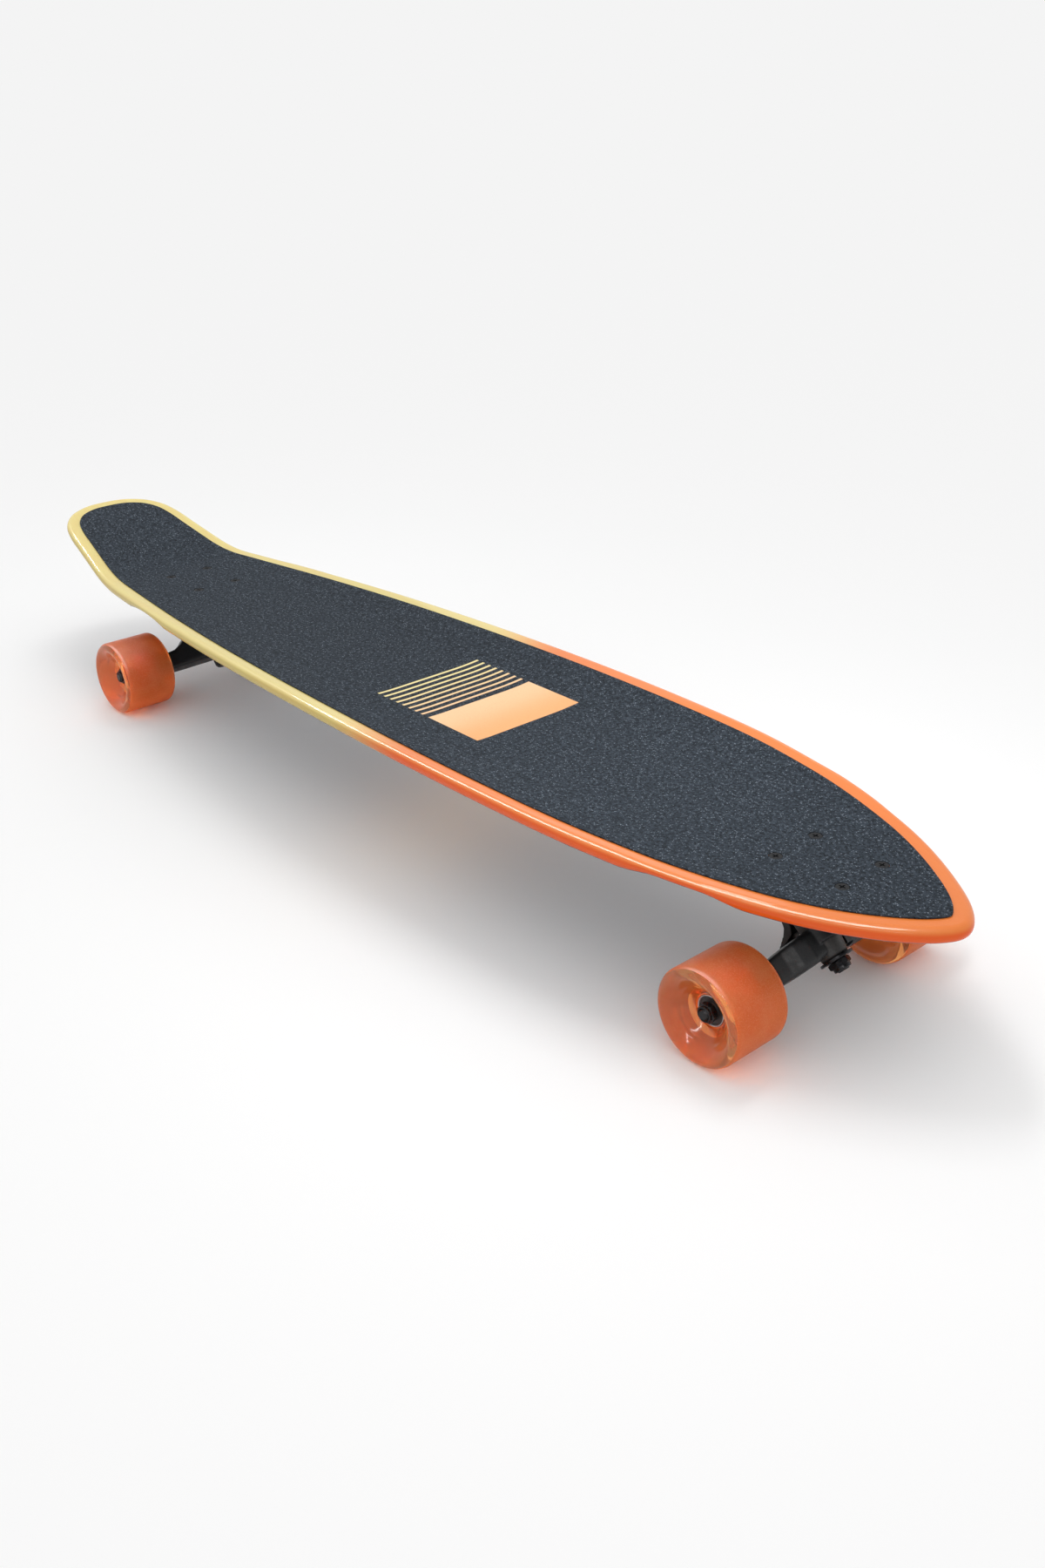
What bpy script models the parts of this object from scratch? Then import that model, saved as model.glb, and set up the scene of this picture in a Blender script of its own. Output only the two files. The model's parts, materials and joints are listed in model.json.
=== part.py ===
"""Longboard with a kicktail: a concave deck on two sprung, steering trucks.

Metres, +Z up, nose towards +X. The origin is on the floor, under the middle
of the board. Each truck is modelled once, facing +X, and the rear one is the
same truck turned half a turn about Z.
"""
import math

import bmesh
import bpy
from mathutils import Matrix, Vector

MM = 0.001
SHARP_ANGLE = math.radians(32)

# Heights above the floor, in the flat middle of the board.
GRIP_TOP = 109.7 * MM
GRIP_THICKNESS = 0.8 * MM
GRIP_GAP = 0.4 * MM
GAP = 0.3 * MM
DECK_TOP = GRIP_TOP - GRIP_THICKNESS - GRIP_GAP
DECK_THICKNESS = 11.4 * MM
DECK_BOTTOM = DECK_TOP - DECK_THICKNESS

# Deck outline: half-widths of the outer edge at stations from nose to tail.
DECK_OUTLINE = [
    (546.0, 0.0), (539.5, 16.0), (522.0, 34.0), (493.0, 54.5), (463.0, 70.7),
    (431.0, 83.4), (390.0, 95.7), (349.0, 104.3), (287.0, 112.6), (207.0, 116.4),
    (126.0, 117.5), (46.0, 116.5), (-54.0, 112.9), (-155.0, 106.8), (-255.0, 97.4),
    (-355.0, 84.8), (-397.0, 78.9), (-435.0, 73.4), (-472.0, 67.9), (-499.0, 63.8),
    (-519.0, 57.2), (-535.0, 43.5), (-544.0, 23.0), (-546.0, 0.0),
]
OUTLINE_STEPS = 2
LONG_STRETCH = 60.0 * MM
GRIP_INSET = 13.4 * MM
EDGE_RADIUS = DECK_THICKNESS / 2
ACROSS_SHARES = (-1.0, -0.76, -0.52, -0.28, 0.28, 0.52, 0.76, 1.0)

# Concave and kicktail.
FLAT_HALF_WIDTH = 30.0 * MM
CONCAVE = 1.5
KICK_START = -384.0 * MM
KICK_BLEND = 50.0 * MM
KICK_SLOPE = 0.30

# Wheel wells: hollows under the rails, a little inboard of the axles.
WELL_DEPTH = 4.0 * MM
WELL_HALF_LENGTH = 45.0 * MM
WELL_INBOARD = 40.0 * MM
WELL_INNER = 48.0 * MM
WELL_OUTER = 72.0 * MM

# Trucks.
FRONT_TRUCK_X = 439.5 * MM
REAR_TRUCK_X = -345.5 * MM
BOLT_HALF_LENGTH = 27.0 * MM
BOLT_HALF_WIDTH = 20.64 * MM
STEER_TILT = math.radians(50.0)
RING_X = -1.4 * MM
RING_Z = 53.0 * MM
AXLE_X = -7.4 * MM
AXLE_Z = 35.0 * MM
AXLE_RADIUS = 4.0 * MM
AXLE_HALF_LENGTH = 108.0 * MM

# Baseplate and riser.
RISER_THICKNESS = 3.0 * MM
PLATE_THICKNESS = 6.0 * MM
PLATE_TOP = DECK_BOTTOM - RISER_THICKNESS - 2 * GAP
PLATE_BOTTOM = PLATE_TOP - PLATE_THICKNESS
PLATE_BACK = -46.0 * MM
PLATE_FRONT = 40.0 * MM
PLATE_HALF_WIDTH = 28.5 * MM
WEDGE_HALF_WIDTH = 12.5 * MM
LEG_HALF_WIDTH = 6.5 * MM
PLATE_CORNER = 7.0 * MM

# The kingpin stack, measured along the kingpin from the middle of the hanger ring.
RING_RADIUS = 15.0 * MM
RING_HALF_THICKNESS = 4.5 * MM
RING_BORE = 7.5 * MM
RING_RIM = 1.6 * MM
BUSHING_RADIUS = 11.5 * MM
WASHER_RADIUS = 12.0 * MM
BUSHING_HEIGHT = 14.0 * MM
WASHER_THICKNESS = 1.5 * MM
KINGPIN_RADIUS = 4.75 * MM
KINGPIN_BORE = KINGPIN_RADIUS + 0.35 * MM
KINGPIN_NUT_HEIGHT = 7.0 * MM
KINGPIN_END_PAST_NUT = 0.8 * MM
BUSHING_START = RING_HALF_THICKNESS + GAP
WASHER_START = BUSHING_START + BUSHING_HEIGHT + GAP
STACK_END = WASHER_START + WASHER_THICKNESS + GAP
RELIEF_RADIUS = 17.0 * MM
RELIEF_START = 14.6 * MM
SEAT_METAL = 9.0 * MM
HEAD_START = STACK_END + SEAT_METAL + GAP
HEAD_HEIGHT = 6.0 * MM
HEAD_POCKET_RADIUS = 8.7 * MM

# Pivot pin, cup and boss, measured along the steering axis behind the ring.
BOSS_START = 28.3 * MM
BOSS_END = 37.5 * MM
BOSS_RADIUS = 8.6 * MM
CUP_RADIUS = 7.0 * MM
CUP_START = 28.6 * MM
CUP_END = 36.2 * MM
PIN_END = 35.0 * MM
PIN_RADIUS = 4.6 * MM
PIN_ROOT_RADIUS = 6.6 * MM

# Hanger sections across the truck, in millimetres in the steering frame:
# distance from the middle, lowest and highest X, lowest and highest Z.
HANGER_SECTIONS = [
    (75.7, -24.6, -10.6, -14.0, 0.0), (72.0, -26.2, -9.0, -15.6, 1.6),
    (52.0, -26.6, -8.8, -16.2, 2.2), (44.0, -26.6, -7.8, -16.4, 2.6),
    (36.0, -26.6, -3.8, -16.6, 3.6), (29.0, -26.5, 2.0, -16.6, 4.6),
    (20.0, -26.5, 7.0, -16.4, 5.6), (0.0, -26.5, 8.0, -15.0, 5.8),
]
SECTION_SIDES = 12
SECTION_SQUARENESS = 0.6

# Wheels.
WHEEL_RADIUS = 35.0 * MM
WHEEL_SIDES = 32
WHEEL_INNER_FACE = 63.4 * MM
WHEEL_OUTER_FACE = 115.7 * MM
WHEEL_LIP = 5.5 * MM
CORE_RADIUS = 19.0 * MM
BEARING_RADIUS = 11.0 * MM
BEARING_BORE = 4.3 * MM
BEARING_WIDTH = 7.0 * MM
INNER_BEARING_Y = 76.5 * MM
OUTER_BEARING_Y = 93.5 * MM
AXLE_NUT_Y = 101.3 * MM
AXLE_NUT_HEIGHT = 6.0 * MM

# Truck bolts and nuts.
BOLT_TOP = GRIP_TOP - 0.2 * MM
BOLT_LENGTH = 31.75 * MM
BOLT_RADIUS = 2.4 * MM
BOLT_HEAD_RADIUS = 4.5 * MM
BOLT_HEAD_HOLE_RADIUS = BOLT_HEAD_RADIUS + 0.4 * MM
BOLT_HOLE_RADIUS = 2.75 * MM
NUT_HEIGHT = 5.5 * MM
BOLT_PLACES = [
    ("1", BOLT_HALF_LENGTH, -BOLT_HALF_WIDTH),
    ("2", BOLT_HALF_LENGTH, BOLT_HALF_WIDTH),
    ("3", -BOLT_HALF_LENGTH, BOLT_HALF_WIDTH),
    ("4", -BOLT_HALF_LENGTH, -BOLT_HALF_WIDTH),
]


# Materials ---------------------------------------------------------------

def make_material(name, colour, roughness, metallic=0.0):
    """A Principled material of one colour."""
    material = bpy.data.materials.new(name)
    material.use_nodes = True
    shader = material.node_tree.nodes["Principled BSDF"]
    shader.inputs["Base Color"].default_value = (*colour, 1.0)
    shader.inputs["Roughness"].default_value = roughness
    shader.inputs["Metallic"].default_value = metallic
    return material


# Meshes ------------------------------------------------------------------

def shade(mesh):
    """Smooth shading that keeps the corners of the shape sharp."""
    mesh.shade_smooth()
    mesh.set_sharp_from_angle(angle=SHARP_ANGLE)
    return mesh


def finish_mesh(shape, name):
    """Turn a bmesh into a mesh whose faces point out."""
    bmesh.ops.recalc_face_normals(shape, faces=shape.faces)
    mesh = bpy.data.meshes.new(name)
    shape.to_mesh(mesh)
    shape.free()
    return shade(mesh)


def turned(name, profile, sides, half_step=False):
    """A closed profile of (radius, height) turned about Z.

    A profile that starts and ends at radius 0 is a solid bar.
    """
    shape = bmesh.new()
    shift = 0.5 if half_step else 0.0
    angles = [2 * math.pi * (side + shift) / sides for side in range(sides)]
    rings = []
    for radius, height in profile:
        if radius == 0.0:
            rings.append([shape.verts.new((0.0, 0.0, height))])
            continue
        rings.append([
            shape.verts.new((radius * math.cos(a), radius * math.sin(a), height))
            for a in angles
        ])
    solid = profile[0][0] == 0.0
    pairs = list(zip(rings, rings[1:]))
    if not solid:
        pairs.append((rings[-1], rings[0]))
    for lower, upper in pairs:
        for side in range(sides):
            following = (side + 1) % sides
            corners = [lower[side % len(lower)], lower[following % len(lower)],
                       upper[following % len(upper)], upper[side % len(upper)]]
            unique = list(dict.fromkeys(corners))
            shape.faces.new(unique)
    return finish_mesh(shape, name)


def ring(name, inner, outer, low, high, sides):
    """A plain flat ring."""
    return turned(name, [(inner, low), (outer, low), (outer, high), (inner, high)], sides)


def bar(name, radius, low, high, sides):
    """A plain round bar."""
    return turned(name, [(0.0, low), (radius, low), (radius, high), (0.0, high)], sides)


def hex_nut(name, across_flats, bore, height, collar):
    """A hexagon nut from height 0 up, with a round locking collar above it."""
    circumradius = across_flats / 2 / math.cos(math.pi / 6)
    body = bar(name, circumradius, 0.0, height - collar, 6)
    drill = bar("drill", bore, -1 * MM, height + 1 * MM, 12)
    top = bar("collar", across_flats * 0.44, 0.5 * height, height, 12)
    return combine(name, body, joined=[top], cut=[drill])


def prism(name, outline, half_width):
    """An (x, z) outline extruded to both sides of the XZ plane."""
    shape = bmesh.new()
    face = shape.faces.new([shape.verts.new((x, -half_width, z)) for x, z in outline])
    made = bmesh.ops.extrude_face_region(shape, geom=[face])
    far_side = [item for item in made["geom"] if isinstance(item, bmesh.types.BMVert)]
    bmesh.ops.translate(shape, verts=far_side, vec=(0.0, 2 * half_width, 0.0))
    return finish_mesh(shape, name)


def block(name, low, high):
    """A box between two corners."""
    shape = bmesh.new()
    bmesh.ops.create_cube(shape, size=1.0)
    size = Vector(high) - Vector(low)
    centre = (Vector(high) + Vector(low)) / 2
    bmesh.ops.scale(shape, verts=shape.verts, vec=size)
    bmesh.ops.translate(shape, verts=shape.verts, vec=centre)
    return finish_mesh(shape, name)


def rounded_plate(name, back, front, half_width, low, high, corner):
    """A flat plate with rounded corners."""
    shape = bmesh.new()
    bmesh.ops.create_cube(shape, size=1.0)
    bmesh.ops.scale(shape, verts=shape.verts, vec=(front - back, 2 * half_width, high - low))
    centre = ((front + back) / 2, 0.0, (high + low) / 2)
    bmesh.ops.translate(shape, verts=shape.verts, vec=centre)
    upright = [e for e in shape.edges if abs(e.verts[0].co.z - e.verts[1].co.z) > GAP]
    bmesh.ops.bevel(shape, geom=upright, offset=corner, segments=3, affect="EDGES")
    return finish_mesh(shape, name)


def moved(mesh, matrix):
    """The same mesh, carried by a matrix."""
    mesh.transform(matrix)
    return mesh


def combine(name, base, joined=(), cut=()):
    """Join meshes to a base and cut others from it, as one closed mesh."""
    helpers = []
    target = bpy.data.objects.new(name + "_base", base)
    bpy.context.collection.objects.link(target)
    for operation, meshes in (("UNION", joined), ("DIFFERENCE", cut)):
        for mesh in meshes:
            helper = bpy.data.objects.new("helper", mesh)
            bpy.context.collection.objects.link(helper)
            helpers.append(helper)
            modifier = target.modifiers.new(operation.title(), "BOOLEAN")
            modifier.operation = operation
            modifier.solver = "EXACT"
            modifier.object = helper
    evaluated = target.evaluated_get(bpy.context.evaluated_depsgraph_get())
    result = bpy.data.meshes.new_from_object(evaluated)
    result.name = name
    result.materials.clear()
    for leftover in [target, *helpers]:
        bpy.data.objects.remove(leftover)
    return shade(result)


# Deck surface --------------------------------------------------------------

def surface_lift(x, y):
    """Height of the top surface above its flat middle: concave plus kicktail."""
    across = max(abs(y) - FLAT_HALF_WIDTH, 0.0)
    along = KICK_START - x
    if along <= 0.0:
        kick = 0.0
    elif along < KICK_BLEND:
        kick = 0.5 * KICK_SLOPE * along * along / KICK_BLEND
    else:
        kick = KICK_SLOPE * (along - KICK_BLEND / 2)
    return CONCAVE * across * across + kick


def smooth_step(value):
    """0 below 0, 1 above 1, smooth between."""
    value = min(max(value, 0.0), 1.0)
    return value * value * (3.0 - 2.0 * value)


def well_depth(x, y):
    """How much thinner the underside is, in the four wheel wells."""
    across = smooth_step((abs(y) - WELL_INNER) / (WELL_OUTER - WELL_INNER))
    front = FRONT_TRUCK_X + AXLE_X - WELL_INBOARD
    rear = REAR_TRUCK_X - AXLE_X + WELL_INBOARD
    nearest = min(abs(x - front), abs(x - rear))
    along = smooth_step(1.5 - 1.5 * nearest / WELL_HALF_LENGTH)
    return WELL_DEPTH * across * along


def outline_points():
    """The outer edge from nose to tail on the left side, with outward normals."""
    right = [(x * MM, -y * MM) for x, y in DECK_OUTLINE[2:0:-1]]
    left = [(x * MM, y * MM) for x, y in DECK_OUTLINE]
    tail = [(x * MM, -y * MM) for x, y in DECK_OUTLINE[-2:-4:-1]]
    control = [Vector(p) for p in right + left + tail]
    points = []
    for index in range(len(right), len(right) + len(left) - 1):
        before, start, end, after = control[index - 1:index + 3]
        steps = 1 if (end - start).length > LONG_STRETCH else OUTLINE_STEPS
        for step in range(steps):
            t = step / steps
            points.append(0.5 * (
                2 * start + (end - before) * t
                + (2 * before - 5 * start + 4 * end - after) * t * t
                + (3 * start - before - 3 * end + after) * t * t * t))
    points.append(Vector(left[-1]))
    mirrored_start = Vector((points[1].x, -points[1].y))
    mirrored_end = Vector((points[-2].x, -points[-2].y))
    padded = [mirrored_start, *points, mirrored_end]
    result = []
    for index, point in enumerate(points):
        along = (padded[index + 2] - padded[index]).normalized()
        result.append((point, Vector((-along.y, along.x)) * -1.0))
    return result


def board_slab(name, inset, top, bottom, rim):
    """A closed slab on the deck's surface, inside its outline.

    rim gives (outward distance, height share) pairs down the edge, where
    height share runs from 0 at the top to 1 at the bottom.
    """
    shape = bmesh.new()
    stations = [(point - normal * inset, normal) for point, normal in outline_points()]
    last = len(stations) - 1

    def surface_row(point, height):
        if abs(point.y) < 0.5 * MM:
            return [shape.verts.new((point.x, 0.0, height(point.x, 0.0)))]
        return [shape.verts.new((point.x, share * point.y, height(point.x, share * point.y)))
                for share in ACROSS_SHARES]

    def rim_column(point, normal, side):
        column = []
        for outward, share in rim:
            x = point.x + normal.x * outward
            y = side * (point.y + normal.y * outward)
            low = bottom(x, y)
            column.append(shape.verts.new((x, y, low + (top(x, y) - low) * (1.0 - share))))
        return column

    top_rows = [surface_row(point, top) for point, _ in stations]
    bottom_rows = [surface_row(point, bottom) for point, _ in stations]
    rims = {}
    for side in (-1, 1):
        rims[side] = [rim_column(point, normal, side) for point, normal in stations]
    for end in (0, last):
        for vert in rims[-1][end]:
            shape.verts.remove(vert)
        rims[-1][end] = rims[1][end]

    def skin(first, second):
        """Faces between two rows, either of which may be a single point."""
        for k in range(max(len(first), len(second)) - 1):
            corners = [first[min(k, len(first) - 1)], first[min(k + 1, len(first) - 1)],
                       second[min(k + 1, len(second) - 1)], second[min(k, len(second) - 1)]]
            shape.faces.new(list(dict.fromkeys(corners)))

    for index in range(last):
        skin(top_rows[index], top_rows[index + 1])
        skin(bottom_rows[index], bottom_rows[index + 1])
        for side in (-1, 1):
            edge = 0 if side < 0 else -1
            here = [top_rows[index][edge], *rims[side][index], bottom_rows[index][edge]]
            there = [top_rows[index + 1][edge], *rims[side][index + 1], bottom_rows[index + 1][edge]]
            skin(here, there)
    return finish_mesh(shape, name)


def bolt_centres():
    """World positions of the eight truck bolts."""
    return [(truck + turn * x, turn * y)
            for truck, turn in ((FRONT_TRUCK_X, 1), (REAR_TRUCK_X, -1))
            for _, x, y in BOLT_PLACES]


def deck_mesh():
    """The pressed deck with a rounded edge, wheel wells and bolt holes."""
    def top(x, y):
        return DECK_TOP + surface_lift(x, y)

    def bottom(x, y):
        return DECK_BOTTOM + surface_lift(x, y) + well_depth(x, y)

    rim = []
    for degrees in (45, 0, -45):
        angle = math.radians(degrees)
        rim.append((EDGE_RADIUS * math.cos(angle), 0.5 - 0.5 * math.sin(angle)))
    slab = board_slab("deck", EDGE_RADIUS, top, bottom, rim)
    countersink = DECK_TOP - 2.0 * MM
    hole = [(0.0, DECK_BOTTOM - 5 * MM), (BOLT_HOLE_RADIUS, DECK_BOTTOM - 5 * MM),
            (BOLT_HOLE_RADIUS, countersink),
            (BOLT_HEAD_HOLE_RADIUS, DECK_TOP - 0.2 * MM),
            (BOLT_HEAD_HOLE_RADIUS, DECK_TOP + 5 * MM), (0.0, DECK_TOP + 5 * MM)]
    holes = [moved(turned("hole", hole, 12), Matrix.Translation((x, y, 0.0)))
             for x, y in bolt_centres()]
    return combine("deck", slab, cut=holes)


def grip_mesh():
    """The grip sheet, a little smaller than the deck, with a hole over each bolt."""
    def top(x, y):
        return GRIP_TOP + surface_lift(x, y)

    def bottom(x, y):
        return GRIP_TOP - GRIP_THICKNESS + surface_lift(x, y)

    slab = board_slab("grip_tape", GRIP_INSET, top, bottom, [])
    holes = [moved(bar("hole", BOLT_HEAD_HOLE_RADIUS, DECK_BOTTOM, GRIP_TOP + 5 * MM, 12),
                   Matrix.Translation((x, y, 0.0)))
             for x, y in bolt_centres()]
    return combine("grip_tape", slab, cut=holes)


# Truck pieces ----------------------------------------------------------------
# The steering frame has its origin in the hanger ring: X along the steering
# axis, rising outboard, and Z up the kingpin towards its head.

STEER_TO_TRUCK = (Matrix.Translation((RING_X, 0.0, RING_Z))
                  @ Matrix.Rotation(-STEER_TILT, 4, "Y"))
ALONG_X = Matrix.Rotation(math.radians(90), 4, "Y")
ALONG_Y = Matrix.Rotation(math.radians(-90), 4, "X")


def steer_point(x, z):
    """A point of the steering frame as (x, z) in the truck's frame."""
    point = STEER_TO_TRUCK @ Vector((x, 0.0, z))
    return (point.x, point.z)


def bolt_drills(low, high):
    """Four drills for the truck bolts."""
    return [moved(bar("drill", BOLT_HOLE_RADIUS, low, high, 12), Matrix.Translation((x, y, 0.0)))
            for _, x, y in BOLT_PLACES]


def baseplate_mesh():
    """A flat plate with a wedge for the kingpin and a leg down to the pivot cup."""
    plate = rounded_plate("baseplate", PLATE_BACK, PLATE_FRONT, PLATE_HALF_WIDTH,
                          PLATE_BOTTOM, PLATE_TOP, PLATE_CORNER)
    inside_plate = PLATE_BOTTOM + 2 * MM
    wedge_outline = [
        (12 * MM, inside_plate),
        (12 * MM, PLATE_BOTTOM - 1 * MM),
        steer_point(15 * MM, STACK_END),
        steer_point(-13.5 * MM, STACK_END),
        steer_point(-17 * MM, STACK_END + 7 * MM),
        (-38 * MM, inside_plate),
    ]
    leg_outline = [
        steer_point(-8 * MM, STACK_END + 4 * MM),
        steer_point(-13.4 * MM, STACK_END + 1 * MM),
        steer_point(-13.8 * MM, 14 * MM),
        steer_point(-17 * MM, 9.6 * MM),
        steer_point(-BOSS_START, 6.5 * MM),
        steer_point(-BOSS_START - 1 * MM, -3 * MM),
        steer_point(-BOSS_END + 1 * MM, -2 * MM),
        steer_point(-BOSS_END + 1 * MM, 6 * MM),
        steer_point(-24 * MM, 13 * MM),
        steer_point(-20 * MM, 17 * MM),
        steer_point(-16.5 * MM, STACK_END + 7 * MM),
    ]
    wedge = prism("wedge", wedge_outline, WEDGE_HALF_WIDTH)
    leg = prism("leg", leg_outline, LEG_HALF_WIDTH)
    boss = moved(turned("boss", [(0.0, -BOSS_END), (BOSS_RADIUS - 2 * MM, -BOSS_END),
                                 (BOSS_RADIUS, -BOSS_END + 2.5 * MM), (BOSS_RADIUS, -BOSS_START),
                                 (0.0, -BOSS_START)], 20), STEER_TO_TRUCK @ ALONG_X)
    kingpin_drill = moved(bar("drill", KINGPIN_BORE, STACK_END - 5 * MM, HEAD_START + 5 * MM, 16),
                          STEER_TO_TRUCK)
    head_pocket = moved(bar("pocket", HEAD_POCKET_RADIUS, HEAD_START - GAP,
                            HEAD_START + 12 * MM, 20), STEER_TO_TRUCK)
    head_access = block("access", (-41 * MM, -HEAD_POCKET_RADIUS, 80 * MM),
                        (-22 * MM, HEAD_POCKET_RADIUS, PLATE_TOP + 5 * MM))
    cup_drill = moved(bar("drill", CUP_RADIUS + GAP, -CUP_END - GAP, -BOSS_START + 5 * MM, 16),
                      STEER_TO_TRUCK @ ALONG_X)
    drills = bolt_drills(PLATE_BOTTOM - 5 * MM, PLATE_TOP + 5 * MM)
    return combine("baseplate", plate, joined=[wedge, leg, boss],
                   cut=[kingpin_drill, head_pocket, head_access, cup_drill, *drills])


def riser_mesh():
    """The flat pad between baseplate and deck."""
    pad = rounded_plate("riser_pad", PLATE_BACK, PLATE_FRONT, PLATE_HALF_WIDTH,
                        PLATE_TOP + GAP, PLATE_TOP + GAP + RISER_THICKNESS, PLATE_CORNER)
    return combine("riser_pad", pad, cut=bolt_drills(PLATE_TOP - 5 * MM, DECK_BOTTOM + 5 * MM))


def section_ring(shape, y, x_low, x_high, z_low, z_high):
    """One rounded-square section of the hanger at a distance y from the middle."""
    verts = []
    for side in range(SECTION_SIDES):
        angle = 2 * math.pi * (side + 0.5) / SECTION_SIDES
        across = math.copysign(abs(math.cos(angle)) ** SECTION_SQUARENESS, math.cos(angle))
        upward = math.copysign(abs(math.sin(angle)) ** SECTION_SQUARENESS, math.sin(angle))
        x = (x_low + x_high) / 2 + (x_high - x_low) / 2 * across
        z = (z_low + z_high) / 2 + (z_high - z_low) / 2 * upward
        verts.append(shape.verts.new((x * MM, y * MM, z * MM)))
    return verts


def wing_mesh():
    """The hanger's body from end to end, in the steering frame."""
    shape = bmesh.new()
    sections = [(-section[0], *section[1:]) for section in HANGER_SECTIONS]
    sections += HANGER_SECTIONS[-2::-1]
    rings = [section_ring(shape, *section) for section in sections]
    for first, second in zip(rings, rings[1:]):
        for side in range(SECTION_SIDES):
            following = (side + 1) % SECTION_SIDES
            shape.faces.new([first[side], first[following], second[following], second[side]])
    shape.faces.new(rings[0])
    shape.faces.new(rings[-1])
    return finish_mesh(shape, "hanger")


def hanger_mesh():
    """Wings, ring and pivot pin in one casting, drilled for axle and kingpin."""
    axle = STEER_TO_TRUCK.inverted() @ Vector((AXLE_X, 0.0, AXLE_Z))
    half = RING_HALF_THICKNESS
    collar = bar("ring", RING_RADIUS, -half - RING_RIM, half + RING_RIM, 24)
    pin = moved(turned("pin", [(0.0, -PIN_END), (3.0 * MM, -PIN_END), (PIN_RADIUS, -PIN_END + 2 * MM),
                               (5.0 * MM, -BOSS_START), (PIN_ROOT_RADIUS, -26 * MM),
                               (PIN_ROOT_RADIUS, -16 * MM), (0.0, -16 * MM)], 16), ALONG_X)
    bushing_room = BUSHING_RADIUS + 0.9 * MM
    cuts = [
        bar("upper_room", bushing_room, half, 40 * MM, 24),
        bar("lower_room", bushing_room, -40 * MM, -half, 24),
        bar("washer_relief", RELIEF_RADIUS, -40 * MM, -RELIEF_START, 32),
        bar("ring_bore", RING_BORE, -10 * MM, 10 * MM, 20),
        moved(bar("axle_bore", AXLE_RADIUS + GAP, -90 * MM, 90 * MM, 16),
              Matrix.Translation((axle.x, 0.0, axle.z)) @ ALONG_Y),
    ]
    return combine("hanger", wing_mesh(), joined=[collar, pin], cut=cuts)


def kingpin_mesh():
    """The kingpin with its hexagon head at the top, in the steering frame."""
    end = STACK_END + KINGPIN_NUT_HEIGHT + KINGPIN_END_PAST_NUT
    head_radius = 7.0 * MM / math.cos(math.pi / 6)
    shaft = turned("shaft", [(0.0, -end), (KINGPIN_RADIUS - 0.8 * MM, -end),
                             (KINGPIN_RADIUS, -end + 0.8 * MM), (KINGPIN_RADIUS, HEAD_START + 1 * MM),
                             (0.0, HEAD_START + 1 * MM)], 16)
    head = bar("head", head_radius, HEAD_START, HEAD_START + HEAD_HEIGHT, 6)
    return combine("kingpin", shaft, joined=[head])


def bushing_mesh(name, waist):
    """A urethane bushing from height 0 up."""
    return turned(name, [(KINGPIN_BORE, 0.0), (BUSHING_RADIUS - 0.8 * MM, 0.0),
                         (BUSHING_RADIUS, 1.2 * MM), (BUSHING_RADIUS * waist, BUSHING_HEIGHT - 1.2 * MM),
                         (BUSHING_RADIUS * waist - 0.8 * MM, BUSHING_HEIGHT),
                         (KINGPIN_BORE, BUSHING_HEIGHT)], 20)


def washer_mesh(name):
    """A washer from height 0 up."""
    return ring(name, KINGPIN_BORE, WASHER_RADIUS, 0.0, WASHER_THICKNESS, 20)


def cup_mesh():
    """The pivot cup, turned about X in the steering frame."""
    floor = -CUP_END + 0.8 * MM
    profile = [(0.0, -CUP_END), (CUP_RADIUS - 0.6 * MM, -CUP_END), (CUP_RADIUS, -CUP_END + 1 * MM),
               (CUP_RADIUS, -CUP_START), (5.5 * MM, -CUP_START), (5.1 * MM, -PIN_END + 2 * MM),
               (3.6 * MM, floor), (0.0, floor)]
    return moved(turned("pivot_cup", profile, 16), ALONG_X)


def axle_mesh():
    """The axle rod, from end to end, along Y."""
    end = AXLE_HALF_LENGTH
    chamfer = 0.8 * MM
    return moved(turned("axle", [(0.0, -end), (AXLE_RADIUS - chamfer, -end), (AXLE_RADIUS, -end + chamfer),
                                 (AXLE_RADIUS, end - chamfer), (AXLE_RADIUS - chamfer, end), (0.0, end)],
                        20), ALONG_Y)


# Wheel pieces: the wheel's frame has Y along the axle, pointing away from the hanger.

def tyre_mesh():
    """The urethane tyre, cast around the core, with dished faces."""
    rim = WHEEL_RADIUS / math.cos(math.pi / WHEEL_SIDES)
    lip = WHEEL_LIP
    soft = WHEEL_LIP * (1 - math.cos(math.pi / 4))
    core_low = INNER_BEARING_Y + 0.2 * MM
    core_high = OUTER_BEARING_Y + BEARING_WIDTH - 0.2 * MM
    low, high = WHEEL_INNER_FACE, WHEEL_OUTER_FACE
    throat = 12.2 * MM
    profile = [
        (CORE_RADIUS + GAP, core_low), (throat, core_low), (throat, core_low - 1.0 * MM),
        (rim - lip, low), (rim - soft, low + soft), (rim, low + lip),
        (rim, high - lip), (rim - soft, high - soft), (rim - lip, high),
        (19 * MM, high - 7.5 * MM), (throat, core_high + 1.0 * MM),
        (throat, core_high), (CORE_RADIUS + GAP, core_high),
    ]
    return moved(turned("tyre", profile, WHEEL_SIDES, half_step=True), ALONG_Y)


def core_mesh():
    """The hard hub that carries both bearings."""
    low = INNER_BEARING_Y + 0.5 * MM
    high = OUTER_BEARING_Y + BEARING_WIDTH - 0.5 * MM
    seat = BEARING_RADIUS + GAP
    shoulder = 9.6 * MM
    inner_step = INNER_BEARING_Y + BEARING_WIDTH + GAP
    outer_step = OUTER_BEARING_Y - GAP
    profile = [(seat, low), (CORE_RADIUS, low), (CORE_RADIUS, high), (seat, high),
               (seat, outer_step), (shoulder, outer_step), (shoulder, inner_step), (seat, inner_step)]
    return moved(turned("core", profile, 20), ALONG_Y)


def bearing_mesh():
    """A ball bearing as one ring, from its inner side outwards."""
    return moved(ring("bearing", BEARING_BORE, BEARING_RADIUS, 0.0, BEARING_WIDTH, 16), ALONG_Y)


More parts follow.
